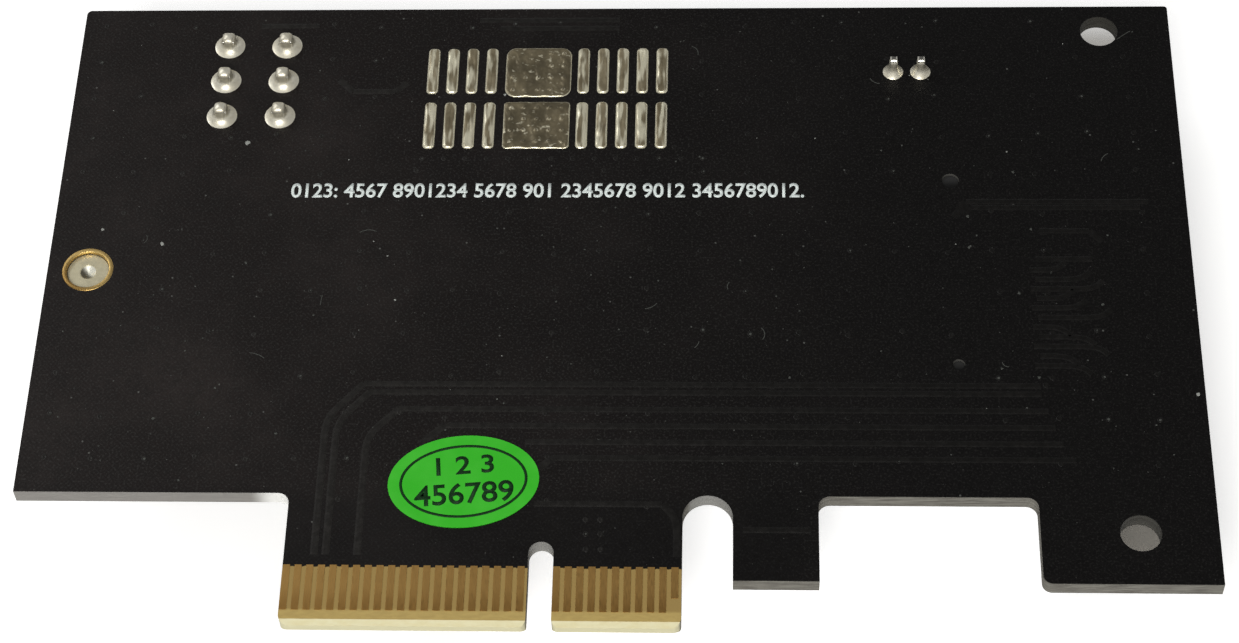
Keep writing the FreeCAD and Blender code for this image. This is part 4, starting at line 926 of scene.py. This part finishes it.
def buildFaintDust(work):
    dice = random.Random(dustLook["faintSeed"])
    flakes(work, dice, dustLook["smudges"], 0.75, dustLook["loose"], dustLook["looseSize"])
    steps = dustLook["fibreSteps"]
    for number in range(dustLook["fibres"]):
        points = [dustPlace(dice)]
        heading = dice.uniform(0.0, math.tau)
        curl = dice.uniform(-dustLook["fibreCurl"], dustLook["fibreCurl"])
        stride = dice.uniform(*dustLook["fibreLength"]) / steps
        for step in range(steps):
            heading += curl / steps
            points.append(turned(*points[-1], stride, 0.0, heading))
        ribbon(work, points, dustLook["fibreWidth"], backFace, backFace + dustLook["high"], 0.01)


viaSpots = viaPlaces()
newPiece("maskedTraces", buildTraces, "maskOverCopper", smooth=False)
newPiece("maskedVias", lambda work: viaRings(work, backFace, 1), "maskOverCopper")
newPiece("viaDust", buildViaDust, "dustFaint", smooth=False)
newPiece("dustFlakes", buildFlakes, "dustPale", smooth=False)
newPiece("faintDust", buildFaintDust, "dustFaint", smooth=False)
print("copper relief and dust made")


# print: plain digits, fitted between left and right, in millimetres on the card
printLook = {
    "thickness": 0.012, "digitHeight": 0.70, "lift": 0.004, "nearLift": 0.002,
    "line": "0123: 4567 8901234 5678 901 2345678 9012 3456789012.",
    "place": (1.55, -24.52, 22.68, 44.28), "bold": 0.030,       # size, left, right, baseline
}


def textPiece(name, words, finish, slot, size, left, right, baseline, z, tilt=0.0, middle=None, bold=0.0,
              under=False):
    # digits cut as thin mesh, turned about their middle; under mirrors them for the component side
    curve = bpy.data.curves.new(name + "Curve", "FONT")
    curve.body = words
    curve.size = 1.0
    curve.offset = bold / size
    holder = linked(name + "Holder", curve)
    bpy.context.view_layer.update()
    mesh = bpy.data.meshes.new_from_object(holder)
    bpy.data.objects.remove(holder)
    mesh.name = name
    xs = [vert.co.x for vert in mesh.vertices]
    turn = math.radians(tilt)
    pivotX, pivotY = middle or ((left + right) / 2, baseline + size / 2)
    for vert in mesh.vertices:
        dx = left + (vert.co.x - min(xs)) / (max(xs) - min(xs)) * (right - left) - pivotX
        dy = baseline + vert.co.y / printLook["digitHeight"] * size - pivotY
        if under:
            dy = -dy
        vert.co = inMetres([(*turned(pivotX, pivotY, dx, dy, turn), z)])[0]
    piece = settle(name, mesh, finish)
    solid = piece.modifiers.new("ink", "SOLIDIFY")
    solid.thickness = printLook["thickness"] * mm
    solid.offset = 1.0


textPiece("printedDigits", printLook["line"], "inkWhite", "solder_mask", *printLook["place"],
          backFace + printLook["lift"], bold=printLook["bold"])

labelLook = {
    "ringInset": 0.98, "ringWidth": 0.25, "ringSteps": 120, "rise": 0.012, "tilt": 5.0, "bold": 0.030,
    "rows": (("Upper", "1 2 3", 1.75, -2.3, 2.7, 0.75), ("Lower", "456789", 2.0, -4.3, 4.3, -2.2)),
}
labelX, labelY, labelHalfX, labelHalfY, _, labelTop = spanOf(*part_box("inspection_sticker"))


def buildLabelRing(work):
    # the box of a turned ellipse is close to its own axes at this small tilt
    turn = math.radians(labelLook["tilt"])
    width, rise, steps, margin = chosen(labelLook, "ringWidth rise ringSteps ringInset")

    def outline(inset):
        points = []
        for u, v in circle(0.0, 0.0, 1.0, steps):
            u *= labelHalfX - margin - inset
            v *= labelHalfY - margin - inset
            points.append(turned(labelX, labelY, u, v, turn))
        return points

    stack(work, outline, ((0.0, 0.0), (0.0, rise), (width, rise), (width, 0.0)), labelTop, closeLast=False)


newPiece("labelRing", buildLabelRing, "labelInk")
for row, words, size, left, right, baseline in labelLook["rows"]:
    textPiece("labelDigits" + row, words, "labelInk", "green_label", size, labelX + left, labelX + right,
              labelY + baseline, labelTop + printLook["nearLift"], labelLook["tilt"], (labelX, labelY),
              labelLook["bold"])
print("print made")


# can capacitors: turned can with a rolled groove, a soft shoulder and a dark sector
canLook = {
    "groove": 0.32, "grooveHeight": 1.35, "grooveReach": 0.42, "shoulder": 0.45, "wall": 0.995, "steps": 72,
    "sector": 0.52, "sectorSteps": 24,
}


def canProfile(radius, base, top):
    groove, height, reach, shoulder, share = chosen(canLook, "groove grooveHeight grooveReach shoulder wall")
    wall = radius * share
    profile = [(radius * 0.90, base), (radius * 0.975, base + 0.06), (wall, base + 0.25)]
    profile += [(wall - groove * math.sin(angle) ** 1.5, base + height - reach * math.cos(angle))
                for angle in [math.pi * step / 8 for step in range(9)]]
    profile += [(wall - shoulder * (1 - math.cos(angle)), top - shoulder * (1 - math.sin(angle)))
                for angle in [math.pi / 2 * step / 6 for step in range(7)]]
    return profile


def buildCans(work):
    for x, y, radius, _, low, high in islands("capacitor_cans"):
        lathe(work, x, y, canLook["steps"], canProfile(radius, -high, -low), 0.0, -1, closeFirst=True)


def buildCanMarks(work):
    steps = canLook["sectorSteps"]
    half = math.acos(canLook["sector"])
    for x, y, radius, _, low, high in islands("capacitor_cans"):
        radius -= canLook["shoulder"]
        arc = []
        for i in range(steps + 1):
            angle = math.pi * 1.5 - half + 2 * half * i / steps
            arc.append((x + radius * math.cos(angle), y + radius * math.sin(angle), low))
        work.faces.new([work.verts.new(point) for point in inMetres(arc)])


newPiece("canShells", buildCans, "canAluminium", ("capacitor_cans",))
newPiece("canMarks", buildCanMarks, "canInk", smooth=False)
print("cans made")


# component side: soldered lands, printed outlines, copper under the mask, and plain numbers on the parts
frontLook = {
    "lands": {                              # how far the solder spreads and climbs, mm
        "chip_capacitor_ends": (0.26, 0.45), "coupling_capacitor_ends": (0.14, 0.22),
        "chip_resistor_ends": (0.18, 0.20), "activity_led_ends": (0.22, 0.28),
        "capacitor_terminals": (0.28, 0.12), "transistor_leads": (0.14, 0.14),
        "transistor_tabs": (0.24, 0.14), "inductor_terminals": (0.32, 0.38),
        "controller_leads": (0.10, 0.12), "ssd_socket_hold_downs": (0.28, 0.30),
    },
    "tailLand": 0.14, "tailReach": 0.28, "tailRoot": 0.95, "landHeight": 0.03,
    "outlines": {                           # nodes ringed with print, and the margin, mm
        "capacitor_bases": 0.45, "transistor_bodies": 0.42, "inductor_core": 0.75, "led_header_base": 0.40,
        "activity_led": 0.75, "power_header_housing": 0.28,
    },
    "outlineWidth": 0.15, "inkHeight": 0.012, "dot": 0.24,
    "dots": [(2.6, 53.3), (42.2, 26.4), (35.9, 57.6), (1.9, 49.9), (1.9, 56.2), (41.9, 57.6)],
    "lanes": 8, "laneX": -18.4, "lanePitch": 2.2, "laneFoot": 10.2, "laneTop": 35.0, "laneStep": 1.05,
    "laneEnd": 30.6, "corner": 1.2, "laneWidth": 0.22, "laneSlope": 0.08, "stub": (8.7, 6.6),
    "ringOuter": 3.1, "ringInner": 2.72,
    # words, size, half width, baseline from the middle of the part
    "canNumbers": (("Upper", "220", 1.1, 1.2, 0.3), ("Lower", "16", 1.1, 0.8, -1.5)),
    "coilNumber": ("100", 2.0, 2.2, -1.0),
}


def buildLands(work):
    # hollow skirts of solder round rectangular feet, hanging below the component face
    for nodeName, (reach, climb) in frontLook["lands"].items():
        profile = ((1.0, 0.0), (0.94, 0.03), (0.55, climb * 0.28), (0.22, climb * 0.62), (-0.02, climb),
                   (-0.12, climb))
        for x, y, halfX, halfY, *_ in islands(nodeName):
            stack(work, lambda spread: roundedLoop(x, y, halfX + reach * spread, halfY + reach * spread,
                                                   0.03 + reach * max(spread, 0.0) * 0.8, 3, 2),
                  profile, frontFace, -1)


def buildTailLands(work):
    # flat lands under the socket's spring tails
    rise, half, root, reach = chosen(frontLook, "landHeight tailLand tailRoot tailReach")
    profile = ((0.0, 0.0), (0.01, rise * 0.7), (0.05, rise))
    for nodeName, side in (("ssd_socket_lower_contacts", -1), ("ssd_socket_upper_contacts", 1)):
        for x, y, halfX, *_ in islands(nodeName):
            middle = x + side * (halfX + (reach - root) / 2)
            stack(work, lambda inset: roundedLoop(middle, y, (root + reach) / 2 - inset, half - inset,
                                                  0.08, 3, 2), profile, frontFace, -1)


def buildOutlines(work):
    width, ink, dot = chosen(frontLook, "outlineWidth inkHeight dot")
    profile = ((0.0, 0.0), (0.0, ink), (width, ink), (width, 0.0))
    for nodeName, margin in frontLook["outlines"].items():
        for x, y, halfX, halfY, *_ in islands(nodeName):
            stack(work, lambda inset: roundedLoop(x, y, halfX + margin - inset, halfY + margin - inset,
                                                  0.25, 3, 3), profile, frontFace, -1, closeLast=False)
    for x, y in frontLook["dots"]:
        lathe(work, x, y, 20, ((dot, 0.0), (dot * 0.97, ink)), frontFace, -1)


def buildFrontRelief(work):
    def lane(points):
        ribbon(work, points, frontLook["laneWidth"], frontFace, frontFace - traceLook["height"],
               frontLook["laneSlope"])

    corner, left, pitch, foot, top, step, end = chosen(
        frontLook, "corner laneX lanePitch laneFoot laneTop laneStep laneEnd")
    for number in range(frontLook["lanes"]):
        x = left + pitch * number
        y = top - step * number
        lane(eased([(x, foot), (x, y - corner), (x + corner, y), (end, y)], traceLook["ease"]))
        lane([(x, y) for y in frontLook["stub"]])
    viaRings(work, frontFace, -1)


def buildFrontRing(work):
    # plated land under the standoff's flange
    x, y = spanOf(*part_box("standoff_ring"))[0:2]
    rise, outer, inner = chosen(frontLook, "landHeight ringOuter ringInner")
    profile = ((outer, 0.0), (outer - 0.02, rise * 0.7), (outer - 0.07, rise), (inner, rise))
    lathe(work, x, y, ringLook["steps"], profile, frontFace, -1, closeLast=False)


def numberUnder(name, span, finish, slot, words, size, half, baseline):
    # a plain number on the lowest face of a part
    x, y = span[0:2]
    textPiece(name, words, finish, slot, size, x - half, x + half, y + baseline,
              span[4] - printLook["nearLift"], middle=(x, y), under=True)


newPiece("solderLands", buildLands, "solderBright")
newPiece("tailLands", buildTailLands, "solderBright")
newPiece("silkOutlines", buildOutlines, "silkWhite", smooth=False)
newPiece("frontRelief", buildFrontRelief, "maskOverCopper", smooth=False)
newPiece("frontRing", buildFrontRing, "ringGold")
for number, span in enumerate(islands("capacitor_cans")):
    for row, *digits in frontLook["canNumbers"]:
        numberUnder("canNumber%s%d" % (row, number), span, "canInk", "can_aluminium", *digits)
numberUnder("coilNumber", spanOf(*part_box("inductor_core")), "silkWhite", "ferrite", *frontLook["coilNumber"])
print("component side dressed")


# floor, lamps and camera
studioLook = {
    "cameraPlace": (15.99, -117.98, 222.72), "cameraTurn": (33.757, 2.949, 2.143), "lens": 87.15,
    "shift": (0.0646, 0.0040), "clip": (0.01, 20.0),
    "ambient": 0.32, "glossOverhead": 0.13, "glossHorizon": (0.03, 0.28),
    "floorSize": 3.0, "floorGap": 0.02, "floorSeen": 0.85, "floorPlain": 0.80, "floorGlow": 0.46,
    "floorUnder": (0.50, 0.470, 0.415), "floorOpen": 0.22, "underShare": 0.8, "underGlow": 0.04,
    # left, right, near, far and softness, mm: painted shadow under the card and under its leg, painted light
    # under the notches
    "cardShadowZone": (-46.0, 59.5, 20.5, 76.9, 5.0), "legShadowZone": (44.0, 59.0, 11.8, 30.0, 2.6),
    "gapLightZone": (-8.0, 46.0, 3.0, 23.0, 3.0),
    # place, aim, disk size, power and colour
    "lamps": {
        "frontLamp": ((-0.05, -0.37, 0.446), (0.0, 0.03, 0.0), 0.26, 2.5, (1.0, 0.985, 0.95)),
        "upperLeftLamp": ((-0.42, 0.34, 0.50), (0.0, 0.03, 0.0), 0.30, 0.8, (1.0, 1.0, 1.0)),
    },
}


def makeFloor():
    # white where the lamps reach it, grey in the card's own shadow, with a painted shadow, deeper and browner,
    # under the card and its leg, and painted light under the notches
    floor = linked("floor", meshOf("floor", lambda work: bmesh.ops.create_grid(
        work, x_segments=2, y_segments=2, size=studioLook["floorSize"])))
    floor.location.z = cadBounds[0].z - studioLook["floorGap"] * mm
    finish = Finish("floorPale")
    finish.tree.nodes.remove(finish.shader)

    def zone(left, right, near, far, soft):
        return finish.times(finish.within(finish.x, (left, left + soft), (right, right - soft)),
                            finish.within(finish.y, (near, near + soft), (far, far - soft)))

    glow, underGlow, share, gapLit, seenShade, underShade = chosen(
        studioLook, "floorGlow underGlow underShare floorOpen floorSeen floorUnder")
    # painted shadow: less glow and a browner tone under the card and under its leg
    under = finish.times(zone(*studioLook["cardShadowZone"]), share)
    under = finish.larger(under, zone(*studioLook["legShadowZone"]))
    level = finish.number("MULTIPLY_ADD", under, (underGlow - 1.0) * glow, glow)
    # painted light: more glow on the floor under the notches
    level = finish.number("MULTIPLY_ADD", zone(*studioLook["gapLightZone"]), gapLit, level)
    tint = finish.blend(under, [seenShade] * 3, underShade)
    matt, shade, light = [finish.add(kind, *values).outputs[0] for kind, *values in (
        ("ShaderNodeBsdfDiffuse", [studioLook["floorPlain"]] * 3), ("ShaderNodeBsdfDiffuse", tint),
        ("ShaderNodeEmission", (1.0, 1.0, 1.0), level))]
    path = finish.add("ShaderNodeLightPath").outputs
    seen = finish.larger(path["Is Camera Ray"], path["Is Transmission Ray"])
    both = finish.add("ShaderNodeAddShader", shade, light).outputs[0]
    output = [node for node in finish.tree.nodes if node.type == "OUTPUT_MATERIAL"][0]
    finish.put(output.inputs[0], finish.add("ShaderNodeMixShader", seen, matt, both).outputs[0])
    floor.data.materials.append(finish.material)


def makeWorld():
    # white behind the card and low down in its gloss, dim overhead in gloss, even for matt surfaces
    world = bpy.data.worlds.new("studio")
    bpy.context.scene.world = world
    world.use_nodes = True
    graph = Graph(world.node_tree)
    path = graph.add("ShaderNodeLightPath").outputs
    up = graph.split(graph.add("ShaderNodeTexCoord").outputs["Generated"])[2]
    gloss = graph.between(up, *studioLook["glossHorizon"], 1.0, studioLook["glossOverhead"], "LINEAR")
    strength = graph.blend(path["Is Glossy Ray"], studioLook["ambient"], gloss, "FLOAT")
    for name in ("Is Camera Ray", "Is Transmission Ray"):
        strength = graph.larger(strength, path[name])
    background = world.node_tree.nodes["Background"]
    graph.put(background.inputs[0], (1.0, 1.0, 1.0))
    graph.put(background.inputs[1], strength)


def makeLamp(name, place, aim, size, power, colour):
    data = bpy.data.lights.new(name, "AREA")
    data.shape = "DISK"
    data.size = size
    data.energy = power
    data.color = colour
    lamp = linked(name, data)
    lamp.location = place
    lamp.rotation_euler = (Vector(aim) - Vector(place)).to_track_quat("-Z", "Y").to_euler()


def makeCamera():
    data = bpy.data.cameras.new("camera")
    data.sensor_width = 36.0
    data.sensor_fit = "HORIZONTAL"
    data.lens = studioLook["lens"]
    data.shift_x, data.shift_y = studioLook["shift"]
    data.clip_start, data.clip_end = studioLook["clip"]
    camera = linked("camera", data)
    camera.location = [part * mm for part in studioLook["cameraPlace"]]
    camera.rotation_euler = Euler([math.radians(part) for part in studioLook["cameraTurn"]], "XYZ")
    bpy.context.scene.camera = camera


makeFloor()
makeWorld()
for name, look in studioLook["lamps"].items():
    makeLamp(name, *look)
makeCamera()
bpy.context.scene.view_settings.view_transform = "Standard"
print("studio made")
